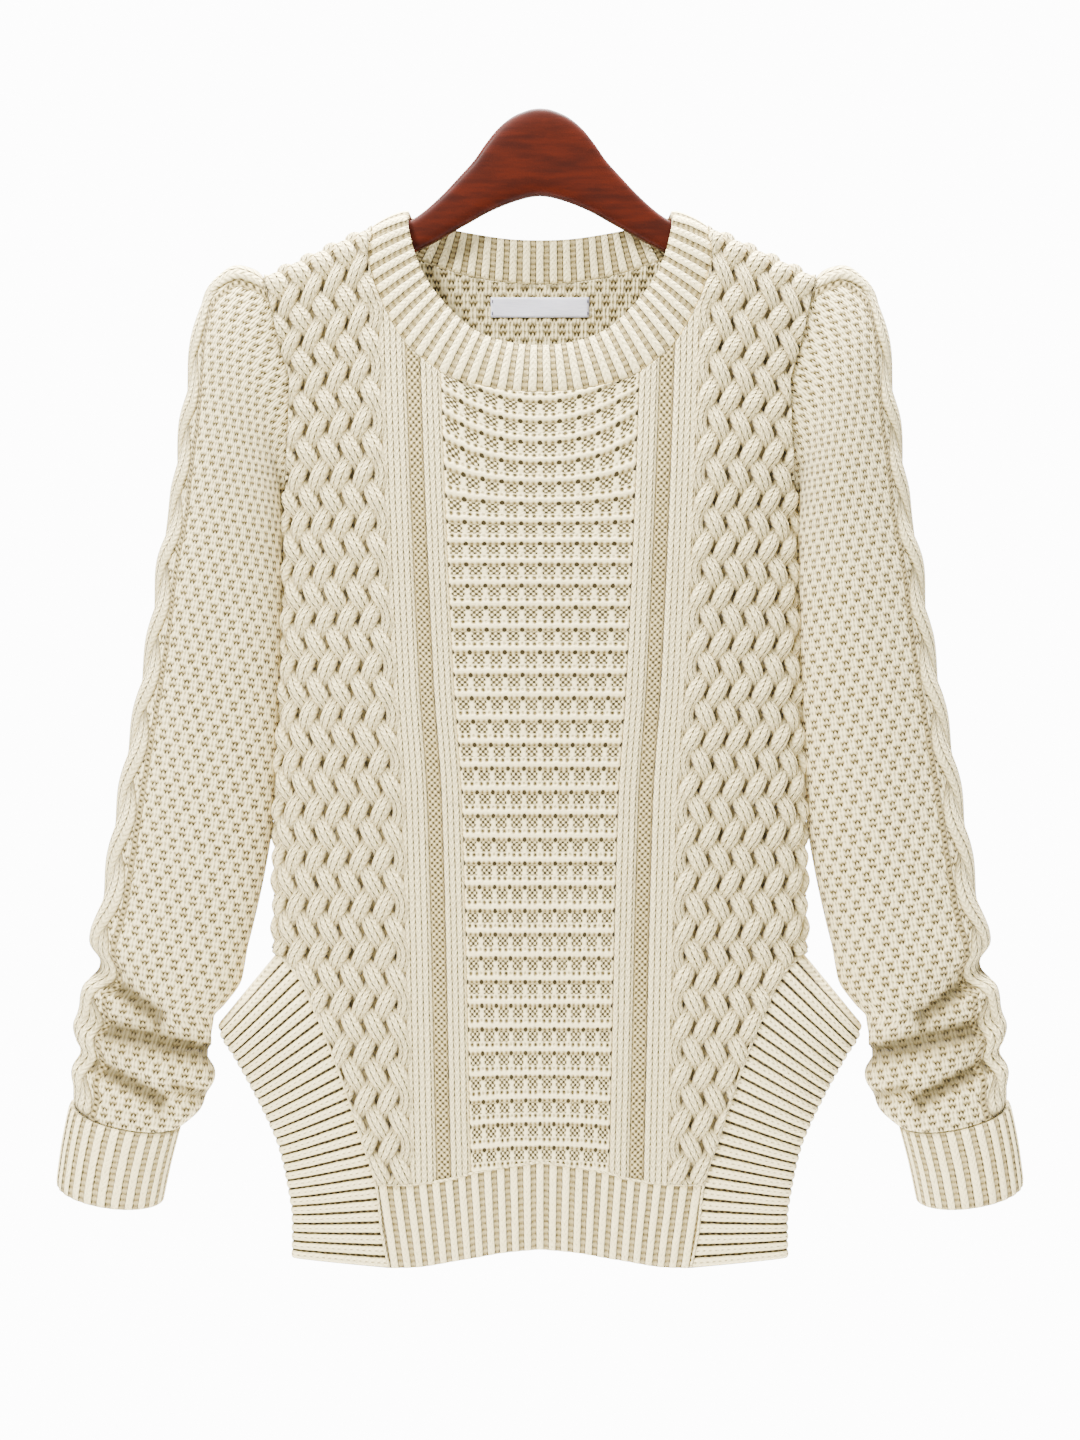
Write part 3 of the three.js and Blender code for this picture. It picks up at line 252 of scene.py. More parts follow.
body_width = column(BODY, "z", "width")
body_depth = column(BODY, "z", "depth")
slit_depth = column(BODY, "z", "slit")
armhole_x = column(ARMHOLE, "z", "x")
purl_x = column(PURL_LINE, "z", "x")
welt_pitch = column(WELT_PITCH, "z", "pitch")


def shoulder_z(x):
    out = np.maximum(np.abs(x), SHOULDER_FLAT)
    return SHOULDER_NECK[1] - SHOULDER_SLOPE * (out - SHOULDER_NECK[0])


def body_y(x, z):
    """Depth of the body's plain outer surface at a place in the front view"""
    slit = slit_depth(z)
    share = np.minimum(1, np.abs(x) / body_width(z))
    section = (1 - share**SECTION_POWER) ** (1 / SECTION_POWER)
    drop = np.clip((shoulder_z(x) - z) / SHOULDER_ROUND, 0, 1)
    return (slit + (body_depth(z) - slit) * section) * np.sqrt(1 - (1 - drop) ** 2)


def around_body(s, z):
    """Distance from the middle plane after a length s round the section, and 1 or, past the side, -1"""
    angle = np.linspace(0, math.pi / 2, SECTION_STEPS + 1)
    x = body_width(z)[:, None] * np.sin(angle) ** (2 / SECTION_POWER)
    y = (body_depth(z) - slit_depth(z))[:, None] * np.maximum(0, np.cos(angle)) ** (2 / SECTION_POWER)
    lengths = np.cumsum(np.hypot(np.diff(x), np.diff(y)), axis=1)
    lengths = np.concatenate([np.zeros((len(s), 1)), lengths], axis=1)
    out = np.abs(s)
    total = lengths[:, -1]
    goal = np.clip(np.where(out <= total, out, 2 * total - out), 0, total)
    i = np.clip((lengths < goal[:, None]).sum(1), 1, SECTION_STEPS)
    row = np.arange(len(s))
    share = (goal - lengths[row, i - 1]) / (lengths[row, i] - lengths[row, i - 1])
    reached = x[row, i - 1] + (x[row, i] - x[row, i - 1]) * share
    return np.sign(s) * reached, np.where(out <= total, 1, -1)


def row_z(x, q):
    """Height of a row of the knitting: rows follow the shoulder at the top and level out below"""
    quarter = SHOULDER_ROUND * math.pi / 2
    rounded = SHOULDER_ROUND * (1 - np.cos(np.minimum(q, quarter) / SHOULDER_ROUND))
    drop = rounded + np.maximum(0, q - quarter)
    follow = 1 - smooth(0, SHOULDER_FADE, drop)
    return SHOULDER_MIDDLE - drop + (shoulder_z(x) - SHOULDER_MIDDLE) * follow


def body_surface(face):
    """The front (-1) or back (1) as a surface of s, to the right as seen from outside, and q down"""
    widest = BODY["width"][0]

    def surface(s, q):
        shape = np.broadcast(s, q).shape
        across = np.broadcast_to(-face * np.asarray(s, float), shape).ravel()
        down = np.broadcast_to(np.asarray(q, float), shape).ravel()
        z = row_z(np.minimum(np.abs(across), widest), down)
        x, side = around_body(across, z)
        return np.stack([x, face * side * body_y(x, z), z], 1).reshape(*shape, 3)

    return surface


def lifted(surface, u, v, height, step=0.7, v_low=0.02):
    """Points of a surface moved out along its normal"""
    across = surface(u + step, v) - surface(u - step, v)
    down = surface(u, v + step) - surface(u, np.maximum(v - step, v_low))
    return surface(u, v) + unit(np.cross(down, across)) * np.asarray(height)[..., None]


# Meshes

class Shape:
    """Points, four-cornered faces, and the stitch coordinates of each face's corners"""

    # depth is painted shade at each point, from dark at 0 to fully lit at 1
    def __init__(self, points, faces, stitches, depth):
        self.points, self.faces, self.stitches, self.depth = points, faces, stitches, depth

    def __add__(self, other):
        return Shape(
            np.concatenate([self.points, other.points]),
            np.concatenate([self.faces, other.faces + len(self.points)]),
            np.concatenate([self.stitches, other.stitches]),
            np.concatenate([self.depth, other.depth]),
        )


def joined(shapes):
    total = shapes[0]
    for shape in shapes[1:]:
        total = total + shape
    return total


def grid(points, u, v, depth=1.0, around=False, along=False, flip=False):
    """Faces between rows of points, closed round the columns or along the rows if asked.

    u and v are the stitch coordinates, with one more column or row than points where the grid closes.
    """
    rows, columns = points.shape[:2]
    r, c = np.meshgrid(np.arange(rows - 1 + along), np.arange(columns - 1 + around), indexing="ij")
    r, c = r.ravel(), c.ravel()
    corners = [(r, c), (r + 1, c), (r + 1, c + 1), (r, c + 1)]
    if flip:
        corners = corners[::-1]
    faces = np.stack([(i % rows) * columns + j % columns for i, j in corners], 1)
    u = np.broadcast_to(u, (rows + along, columns + around))
    v = np.broadcast_to(v, (rows + along, columns + around))
    stitches = np.stack([np.stack([u[i, j], v[i, j]], -1) for i, j in corners], 1)
    depths = np.broadcast_to(depth, (rows, columns)).ravel().astype(float)
    return Shape(points.reshape(-1, 3), faces, stitches, depths)


def used_only(shape, keep):
    """The shape with only the faces to keep, and the points that they use"""
    faces = shape.faces[keep]
    used, index = np.unique(faces, return_inverse=True)
    return Shape(shape.points[used], index.reshape(-1, 4), shape.stitches[keep], shape.depth[used])


def boundary(faces):
    """Edges that only one face has, in that face's direction"""
    edges = np.concatenate([faces[:, [k, (k + 1) % 4]] for k in range(4)])
    size = edges.max() + 1
    key = edges[:, 0] * size + edges[:, 1]
    back = edges[:, 1] * size + edges[:, 0]
    return edges[~np.isin(key, back)]


def thickened(shape, inside):
    """Closed shell between a shape and its inner points"""
    count = len(shape.points)
    rim = boundary(shape.faces)
    rim_faces = np.stack([rim[:, 1], rim[:, 0], rim[:, 0] + count, rim[:, 1] + count], 1)
    corner_of = np.zeros((count, 2))
    corner_of[shape.faces.ravel()] = shape.stitches.reshape(-1, 2)
    rim_stitches = corner_of[rim_faces % count]
    return Shape(
        np.concatenate([shape.points, inside]),
        np.concatenate([shape.faces, shape.faces[:, ::-1] + count, rim_faces]),
        np.concatenate([shape.stitches, shape.stitches[:, ::-1], rim_stitches]),
        np.concatenate([shape.depth, shape.depth]),
    )


def inside_outline(outline, x, z):
    """Whether places in the front view are inside a closed outline"""
    ax, az = outline.T[:, :, None]
    bx, bz = np.roll(outline, -1, 0).T[:, :, None]
    rise = np.where(bz == az, 1, bz - az)
    crossed = ((az > z) != (bz > z)) & (x < (bx - ax) * (z - az) / rise + ax)
    return crossed.sum(0) % 2 == 1


def nearest_on(outline, places):
    """The nearest places on a closed outline"""
    start = outline[None]
    step = (np.roll(outline, -1, 0) - outline)[None]
    share = ((places[:, None] - start) * step).sum(-1) / np.maximum((step**2).sum(-1), 1e-9)
    found = start + np.clip(share, 0, 1)[..., None] * step
    best = np.linalg.norm(found - places[:, None], axis=-1).argmin(1)
    return found[np.arange(len(places)), best]


def trimmed_shell(outer, inner, face):
    """Closed shell of the part that is inside the panel's outline and on its own side of the middle plane.

    outer is a shape, and inner has a point for each of its points.
    """
    outline = OUTLINE[face]
    both = np.concatenate([outer.points, inner.reshape(-1, 3)], 1)
    within = inside_outline(outline, both[:, 0], both[:, 2]) & (both[:, 1] * face > 0)
    kept = used_only(Shape(both, outer.faces, outer.stitches, outer.depth), within[outer.faces].any(1))
    points, inside = np.split(kept.points, 2, axis=1)
    out = ~inside_outline(outline, points[:, 0], points[:, 2])
    edge = nearest_on(outline, points[out][:, [0, 2]])
    inside[np.ix_(out, [0, 2])] += edge - points[out][:, [0, 2]]
    points[np.ix_(out, [0, 2])] = edge
    for side in (points, inside):
        side[:, 1] = face * np.maximum(side[:, 1] * face, SEAM / 2)
    return thickened(Shape(points, kept.faces, kept.stitches, kept.depth), inside)


def capped(side, rows, columns, flip=False):
    """A tube's side with each end closed by faces between the two halves of its ring"""
    faces, stitches = [], []
    for start, turned in ((0, flip), ((rows - 1) * columns, not flip)):
        for c in range(columns // 2 - 1):
            corners = [start + c, start + c + 1, start + columns - 2 - c, start + columns - 1 - c]
            faces.append(corners[::-1] if turned else corners)
            stitches.append([(0.5, c)] * 4)
    return Shape(side.points, np.concatenate([side.faces, faces]),
                 np.concatenate([side.stitches, np.array(stitches, float)]), side.depth)


def double_wall(outer, inner, u, v, depth):
    """Closed tube of cloth: u, v and depth are pairs, of its outer and of its inner wall.

    The last column of each is in the place of the first.
    """
    u, v = (np.concatenate([pair[0], pair[1][::-1], pair[0][:1]]) for pair in (u, v))
    points = np.concatenate([outer, inner[::-1]])[:, :-1]
    depths = np.concatenate([depth[0], depth[1][::-1]])[:, :-1]
    return grid(points, u, v, depths, around=True, along=True, flip=True)


def placed(name, data):
    """Object in the scene"""
    made = bpy.data.objects.new(name, data)
    bpy.context.scene.collection.objects.link(made)
    return made


def piece(name, shape, material, replaces=None):
    """Mesh object of a shape, on the part's body"""
    mesh = bpy.data.meshes.new(name)
    mesh.from_pydata((shape.points * MM).tolist(), [], shape.faces.tolist())
    layer = mesh.uv_layers.new(name="stitches")
    layer.data.foreach_set("uv", shape.stitches.reshape(-1).astype(np.float32))
    # The depth attribute carries the painted shade to the wool materials
    mesh.attributes.new("depth", "FLOAT", "POINT").data.foreach_set("value", shape.depth.astype(np.float32))
    mesh.polygons.foreach_set("use_smooth", np.ones(len(shape.faces), bool))
    mesh.materials.append(material)
    mesh.validate()
    made = placed(name, mesh)
    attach(made, "root")
    if replaces:
        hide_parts(replaces)
    return made


# Materials

class Value:
    """A shader socket that takes arithmetic"""

    def __init__(self, tree, socket):
        self.tree, self.socket = tree, socket

    def math(self, operation, *others, clamp=False):
        node = self.tree.nodes.new("ShaderNodeMath")
        node.operation = operation
        node.use_clamp = clamp
        for place, value in zip(node.inputs, (self, *others)):
            if isinstance(value, Value):
                self.tree.links.new(value.socket, place)
            else:
                place.default_value = value
        return Value(self.tree, node.outputs[0])

    def __add__(self, other):
        return self.math("ADD", other)

    def __sub__(self, other):
        return self.math("SUBTRACT", other)

    def __mul__(self, other):
        return self.math("MULTIPLY", other)

    def clamped(self):
        return self.math("ADD", 0.0, clamp=True)

    def inverse(self):
        return (self * -1.0) + 1.0

    def wave(self):
        """From 1 at whole numbers to 0 halfway between them"""
        return (self * (2 * math.pi)).math("COSINE") * 0.5 + 0.5

    def away(self, place):
        """Distance to the nearest such place, one to each whole number"""
        return ((self + (0.5 - place)).math("FRACT") - 0.5).math("ABSOLUTE")

    def step(self, low, high):
        """Smooth step from 0 at low to 1 at high"""
        node = self.tree.nodes.new("ShaderNodeMapRange")
        node.interpolation_type = "SMOOTHSTEP"
        node.inputs["From Min"].default_value = low
        node.inputs["From Max"].default_value = high
        self.tree.links.new(self.socket, node.inputs["Value"])
        return Value(self.tree, node.outputs["Result"])


def srgb(red, green, blue):
    """Linear colour of an sRGB one from 0 to 255"""
    return tuple((c / 255 / 12.92) if c / 255 <= 0.04045 else ((c / 255 + 0.055) / 1.055) ** 2.4
                 for c in (red, green, blue))


def set_inputs(node, values):
    """Constants on a node's own sockets"""
    for name, value in values.items():
        node.inputs[name].default_value = value


def new_material(name, values):
    """Material with constants on its shader"""
    material = bpy.data.materials.new(name)
    material.use_nodes = True
    tree = material.node_tree
    shader = next(node for node in tree.nodes if node.type == "BSDF_PRINCIPLED")
    set_inputs(shader, values)
    return material, tree, shader


def mixed(tree, share, first, second):
    """Colour from first to second"""
    node = tree.nodes.new("ShaderNodeMix")
    node.data_type = "RGBA"
    tree.links.new(share.socket, node.inputs["Factor"])
    for place, colour in ((node.inputs[6], first), (node.inputs[7], second)):
        if isinstance(colour, tuple):
            place.default_value = (*colour, 1)
        else:
            tree.links.new(colour, place)
    return node.outputs[2]


def bumped(tree, shader, height, strength, distance):
    """Relief of the shader's surface by a height"""
    bump = tree.nodes.new("ShaderNodeBump")
    set_inputs(bump, {"Strength": strength, "Distance": distance * MM})
    tree.links.new(height.socket, bump.inputs["Height"])
    tree.links.new(bump.outputs["Normal"], shader.inputs["Normal"])


def noise(tree, scale, detail=2.0, stretch=(1, 1, 1)):
    """Noise in the part's own coordinates"""
    place = tree.nodes.new("ShaderNodeTexCoord")
    mapping = tree.nodes.new("ShaderNodeMapping")
    mapping.inputs["Scale"].default_value = stretch
    tree.links.new(place.outputs["Object"], mapping.inputs["Vector"])
    node = tree.nodes.new("ShaderNodeTexNoise")
    set_inputs(node, {"Scale": scale, "Detail": detail})
    tree.links.new(mapping.outputs["Vector"], node.inputs["Vector"])
    return Value(tree, node.outputs["Fac"])


# Painted light: the cream wool as lit colour, as painted shade, and as the painted shadow in its holes
WOOL_LIGHT = srgb(255, 237, 178)
WOOL_SHADE = srgb(154, 134, 84)
WOOL_HOLE_SHADOW = srgb(52, 44, 20)
BUMP_DISTANCE = 1.6


def wool(name, pattern, wander=0.1):
    """Wool knit in a pattern that gives the height of the yarn, from 0 in its holes to 1.

    wander is how far the stitches stray from their even places.
    """
    material, tree, shader = new_material(name, {
        "Roughness": 0.92, "Specular IOR Level": 0.15, "Sheen Weight": 0.12, "Sheen Roughness": 0.5,
    })
    place = tree.nodes.new("ShaderNodeUVMap")
    place.uv_map = "stitches"
    parts = tree.nodes.new("ShaderNodeSeparateXYZ")
    tree.links.new(place.outputs["UV"], parts.inputs["Vector"])
    # depth is painted shade: lower in valleys, under crossing strands, under creases, against the body and on
    # inside walls
    lie = tree.nodes.new("ShaderNodeAttribute")
    lie.attribute_name = "depth"
    depth = Value(tree, lie.outputs["Fac"])
    stray = (noise(tree, 190, 1) - 0.5) * (2 * wander)
    height = pattern(Value(tree, parts.outputs["X"]) + stray, Value(tree, parts.outputs["Y"]) + stray)

    fuzz = noise(tree, 900, 3)
    drift = noise(tree, 22, 2)
    yarn = (height + (fuzz - 0.5) * 0.5).clamped()
    # Painted shade: high yarn lit, low yarn shaded and a dark painted shadow in the holes, all darker where
    # depth is low
    lit = yarn.step(0.12, 0.85) * (depth.step(0.0, 0.9) * 0.8 + 0.2)
    shade = mixed(tree, (lit + (drift - 0.5) * 0.14).clamped(), WOOL_SHADE, WOOL_LIGHT)
    holes = yarn.step(0.0, 0.42) * depth.step(-0.1, 0.42)
    tree.links.new(mixed(tree, holes, WOOL_HOLE_SHADOW, shade), shader.inputs["Base Color"])
    bumped(tree, shader, yarn, 1.0, BUMP_DISTANCE)
    return material


def knit(u, v):
    """Knit stitches: two legs to a wale that meet low in its middle, with a dotted groove between wales"""
    x = u.away(0.5) * 2.0
    wale = x.step(1.0, 0.62)
    return wale * ((v + x * 0.9).wave() * 0.5 + 0.48) + wale.inverse() * (v.wave() * 0.32)


def purl(u, v):
    """Purl side: rows of bumps that stand between one another"""
    bumps = u.wave() * v.wave() + (u + 0.5).wave() * (v + 0.5).wave()
    return bumps * 0.62


def moss(u, v):
    """Blocks of two knit legs and of purl bumps, in turn"""
    turn = (u * (2 * math.pi)).math("COSINE") * (v * (2 * math.pi)).math("COSINE")
    block = turn.step(-0.42, 0.38)
    legs = (u * 4.0 + 0.5).wave() * 0.55 + ((v * 4.0 + 0.25).wave() * 0.35 + 0.3)
    bumps = (v * 4.0 + (u * 4.0).wave() * 0.3).wave() * 0.45 + (u * 4.0).wave() * 0.2
    return block * legs + block.inverse() * bumps


def waffle(u, v):
    """Cells between welts: holes in the line under each welt, specks in the cell, a row of small holes"""
    line = v.away(0.0).step(0.15, 0.03)
    strokes = line * ((u * 3.0).wave() * 0.4 + 0.35)
    large = hole(u, v, 0.0, 0.03, 0.17)
    small = hole(u, v, 0.3, 0.68, 0.17) + hole(u, v, 0.7, 0.68, 0.17) + hole(u, v, 0.0, 0.66, 0.13) * 0.6
    middle = u.away(0.5).step(0.42, 0.3)
    upper = (v.math("FRACT") - 0.32).math("ABSOLUTE").step(0.26, 0.18)
    checks = (u * 3.0).wave() * (v * 4.2).wave() + (u * 3.0 + 0.5).wave() * (v * 4.2 + 0.5).wave()
    specks = checks.step(0.15, 0.7) * middle * upper
    welt = v.away(0.36).step(0.28, 0.42)
    return welt * 0.2 + 0.82 - strokes - large * 0.8 - small * 0.75 - specks * 0.75


def hole(u, v, at_u, at_v, radius):
    """1 at a place in each cell, falling to 0 at the radius"""
    across, down = u.away(at_u), v.away(at_v)
    return (across * across + down * down * 1.2).math("SQRT").step(radius, radius * 0.3)


def rib_pattern(crest, floor, dots):
    """Ribs whose knit crest takes a share of the pitch, with rungs in the valleys and dots along the crest"""

    def pattern(u, v):
        away = u.away(0.5) * (2 / crest)
        top = away.step(1.06, 0.86)
        dotted = away.step(0.2, 0.06) * (v + 0.5).wave() * dots
        raised = (v + away * 0.9).wave() * 0.25 + 0.7 - dotted
        rungs = v.wave() * 0.3 + floor
        line = (away - 1.02).math("ABSOLUTE").step(0.2, 0.04)
        return top * raised + top.inverse() * rungs - line * 0.3

    return pattern


def satin():
    material, tree, shader = new_material("satin_ribbon", {"Roughness": 0.42})
    weave = noise(tree, 900, 1, (0.15, 1, 6))
    colour = mixed(tree, weave.step(0.3, 0.7), srgb(212, 210, 224), srgb(236, 235, 243))
    tree.links.new(colour, shader.inputs["Base Color"])
    bumped(tree, shader, weave, 0.15, 0.1)
    return material


def thread():
    return new_material("label_thread", {"Base Color": (*srgb(92, 88, 110), 1), "Roughness": 0.7})[0]


def wood():
    material, tree, shader = new_material("stained_wood", {
        "Roughness": 0.5, "Specular IOR Level": 0.1, "Coat Weight": 0.02, "Coat Roughness": 0.22,
    })
    grain = noise(tree, 60, 5, (0.6, 3, 3.4))
    fine = noise(tree, 420, 3, (0.25, 2, 2))
    share = (grain.step(0.3, 0.72) * 0.75 + fine * 0.25).clamped()
    tree.links.new(mixed(tree, share, srgb(40, 7, 0), srgb(64, 15, 0)), shader.inputs["Base Color"])
    bumped(tree, shader, fine, 0.12, 0.3)
    return material


KNIT = wool("wool_knit", knit)
PURL = wool("wool_purl", purl)
MOSS = wool("wool_moss", moss, 0.05)
WAFFLE = wool("wool_waffle", waffle, 0.03)
RIB = wool("wool_rib", rib_pattern(0.6, 0.26, 0.1), 0.04)
SIDE_RIB = wool("wool_side_rib", rib_pattern(0.84, 0.1, 0.4), 0.05)


# Front and back

GROUND_SHADE = 0.12
WAFFLE_START = 62
WAFFLE_GROUND = 1.0
WELT_RISE = 1.1
BAR_RISE = 0.35
LINE_DROP = 0.9


def neck_line(face):
    """Neck seam of one face, from the middle to the shoulder"""
    here = (NECK["side"] == face) | (NECK["side"] == 0)
    line = np.stack([NECK["seam_x"][here], NECK["seam_z"][here]], 1)
    return line if face < 0 else line[::-1]


def panel_outline(face):
    """Outline of the front or back in the front view"""
    neck = spaced(neck_line(face), 36)
    heights = np.linspace(ARMHOLE["z"][0], ARMHOLE["z"][-1], 24)
    armhole = np.stack([armhole_x(heights), heights], 1)
    side = flat_curve(SIDE_SEAM, 32)
    side = side[side[:, 1] > HEM_SEAM["z"][0] + 1]
    hem = flat_curve(HEM_SEAM, 20)
    above, aside = -40, 230
    right = np.concatenate([
        neck, [(neck[-1, 0], above), (armhole[0, 0], above)], armhole,
        [(aside, armhole[-1, 1]), (aside, side[0, 1])], side, hem,
    ])
    left = right[(right[:, 0] > 0)][::-1] * (-1, 1)
    return np.concatenate([right, left])


OUTLINE = {-1: panel_outline(-1), 1: panel_outline(1)}


def welt_number(q):
    """Number of welts down to a length q"""
    fine = np.linspace(0, PANEL_END + 60, 700)
    rate = 1 / welt_pitch(row_z(0, fine))
    total = np.concatenate([[0], np.cumsum((rate[1:] + rate[:-1]) / 2 * np.diff(fine))])
    return np.interp(q, fine, total)


def panel_shell(face):
    """The front's ground or the whole back, as a closed shell"""
    s = np.linspace(-PANEL_REACH, PANEL_REACH, 112)[None]
    q = np.linspace(0.05, PANEL_END, 168)[:, None]
    outer, inner = (lifted(body_surface(face), s, q, height) for height in (0, -WALL))
    depth = 1.0 if face > 0 else GROUND_SHADE
    return trimmed_shell(grid(outer, s / MOSS_WALES, q / MOSS_ROWS, depth), inner, face)


def waffle_bend(s, q, half):
    """How far the welts hang at the neck and arch at the hem"""
    z = row_z(0, q)
    smile = SMILE * (1 - smooth(180, 277, -z))
    arch = ARCH * smooth(560, 660, -z)
    return arch * (s / ARCH_HALF_WIDTH) ** 2 - smile * (s / half) ** 2


def laid(s, q, height, u, v, depth):
    """Knitting that lies on the front, and its roots inside the wall"""
    surface = body_surface(-1)
    return grid(lifted(surface, s, q, height), u, v, depth), lifted(surface, s, q, -ROOT_DEPTH).reshape(-1, 3)


def waffle_panel():
    """Middle panel: rows of cells between raised welts"""
    share = np.linspace(-1, 1, WAFFLE_CELLS * 9 + 1)[None]
    q = np.arange(WAFFLE_START, PANEL_END, 1.55)[:, None]
    half = purl_x(row_z(0, q)) - PURL_HALF - INNER_COLUMN
    s = share * half
    v = welt_number(q - waffle_bend(s, q, half))
    u = share * WAFFLE_CELLS / 2
    phase = v % 1
    ridge = np.exp(-((phase - 0.84) / 0.13) ** 2)
    line = np.exp(-(np.minimum(phase, 1 - phase) / 0.08) ** 2)
    bars = np.exp(-(((u + 0.5) % 1 - 0.5) / 0.13) ** 2)
    height = WAFFLE_GROUND + WELT_RISE * ridge + BAR_RISE * bars - LINE_DROP * line
    height = height * smooth(1.0, 0.985, np.abs(share))
    # Painted shade: lighter on the welts, darker in the line under each welt
    depth = np.clip(0.75 + 0.4 * ridge - 0.45 * line, 0, 1)
    return trimmed_shell(*laid(s, q, height, u, v, depth), -1)


def front_column(hand, start, width, relief, columns, wales, depth, start_q=0.4):
    """Straight column of the front: start gives its inner edge at each height"""
    share = np.linspace(0, 1, columns + 1)[None]
    q = np.arange(start_q, PANEL_END, 2.2)[:, None]
    s = start(row_z(0, q)) + share * width
    edge = np.minimum(share, 1 - share) * width
    height = np.where(edge < 0.01, -0.2, relief * smooth(-0.6, 1.8, edge)) * smooth(0, 8, q)
    if hand < 0:
        s, height = -s[:, ::-1], height[:, ::-1]
    return trimmed_shell(*laid(s, q, height, share * wales, q / COURSE, depth), -1)


def knit_columns():
    inner = lambda z: purl_x(z) - PURL_HALF - INNER_COLUMN
    outer = lambda z: purl_x(z) + PURL_HALF
    shapes = []
    for hand in (-1, 1):
        shapes.append(front_column(hand, inner, INNER_COLUMN, KNIT_RELIEF, 10, 3.5, 1.0, 55))
        shapes.append(front_column(hand, outer, OUTER_COLUMN + 2.5, KNIT_RELIEF + 0.2, 12, 4.5, 1.0))
    return joined(shapes)


def purl_columns():
    start = lambda z: purl_x(z) - PURL_HALF
    # Painted shade: the purl columns lie low between the knit columns and are darkened (depth 0.55)
    return joined([front_column(hand, start, 2 * PURL_HALF, 0.5, 6, 2.5, 0.55) for hand in (-1, 1)])


# Basket cable: strands that slant out and in over one another and turn back at the inner edge

STRAND_NARROW = 4.7
STRAND_SWELL = 0.9
STRAND_OVER = 5.6
STRAND_UNDER = 0.6
STRAND_SUNK = 0.5
STRAND_WALES = 3
CABLE_START = 84
TURN_ROUND = 3.0


def strand_profile(count):
    """Across a strand: shares from -1 to 1 and the height's share at each"""
    across = np.sin(np.linspace(-math.pi / 2, math.pi / 2, count))
    return across, np.sqrt(1 - np.abs(across) ** 2.3 * 0.9999)


def cable_side(hand):
    """One side of the front: each strand turns at the inner edge and slants out from there both ways"""
    across, rise = strand_profile(9)
    last = PANEL_END / CABLE_REPEAT
    reach = 2 * (PANEL_REACH - CABLE_START) / CABLE_PITCH
    strands = []
    for turn in np.arange(-14, last + 15, 2):
        t = np.arange(max(0.02, turn - reach), min(last, turn + reach), 0.115)[:, None]
        if len(t) < 4:
            continue
        q = t * CABLE_REPEAT
        start = purl_x(row_z(0, q)) + PURL_HALF + OUTER_COLUMN
        s = start + np.hypot((t - turn) * CABLE_PITCH / 2, TURN_ROUND)
        phase = np.where(t < turn, -1, 1) * np.cos(math.pi * t) * smooth(0.25, 0.75, np.abs(t - turn))
        top = STRAND_UNDER + (STRAND_OVER - STRAND_UNDER) * (0.5 + 0.5 * phase)
        ds, dq = np.gradient(s, axis=0), np.gradient(q, axis=0)
        size = np.hypot(ds, dq)
        offset = across * (STRAND_NARROW + STRAND_SWELL * smooth(-0.3, 0.9, phase))
        at_s = s + offset * (dq / size)
        at_q = np.clip(q - offset * (ds / size), 0.05, None)
        height = -STRAND_SUNK + (top * smooth(0, 5, q) + STRAND_SUNK) * rise
        # Painted shade: each strand darker where it is low and dives under the others
        depth = np.clip(height / STRAND_OVER * 1.15, 0, 1)
        if hand < 0:
            at_s, at_q, height, depth = -at_s[:, ::-1], at_q[:, ::-1], height[:, ::-1], depth[:, ::-1]
        u = (across + 1) / 2 * STRAND_WALES
        strands.append(laid(at_s, at_q, height, u, np.cumsum(size, axis=0) / COURSE, depth))
    shapes, roots = zip(*strands)
    return trimmed_shell(joined(shapes), np.concatenate(roots), -1)


# Ribbed bands

def rib_relief(u, crest=0.4, relief=RIB_RELIEF):
    """Height of round ribs at a rib number"""
    away = np.abs(u % 1 - 0.5) / crest
    return relief * np.clip(1 - away**2, 0, 1) ** 0.7


def beside(path, distance):
    """A path in the front view moved sideways, to its left when that is positive"""
    along = unit(np.gradient(path, axis=0))
    return path + np.stack([-along[:, 1], along[:, 0]], 1) * distance


def outward(points, face, height):
    """Points on the body moved out by a height"""
    x, z = points[..., 0], points[..., 2]
    step = 0.6
    width = body_width(z)
    at = np.clip(x, -width + 2 * step, width - 2 * step)
    slope = (body_y(at + step, z) - body_y(at - step, z)) / (2 * step)
    normal = unit(np.stack([-slope, np.full_like(slope, face), 0 * slope], -1))
    return points + normal * height[..., None]


def drawn_in(points, face, depth, edging):
    """Points below the body's outer surface, drawn in towards the middle plane at the side edge"""
    x, z = points[..., 0], points[..., 2]
    inward = depth * np.maximum(0, 1 - slit_depth(z) / depth)
    share = np.abs(x) / body_width(z)
    moved = x - np.sign(x) * inward * edging * share**EDGE_POWER
    y = np.maximum(SEAM / 2, np.abs(points[..., 1]) - depth)
    return np.stack([moved, face * y, z], -1)


def valleys(relief, most=RIB_RELIEF, dark=0.32):
    """Depth of shade between ribs, from dark in their valleys to 1"""
    return np.clip(relief / most * 1.2, dark, 1)


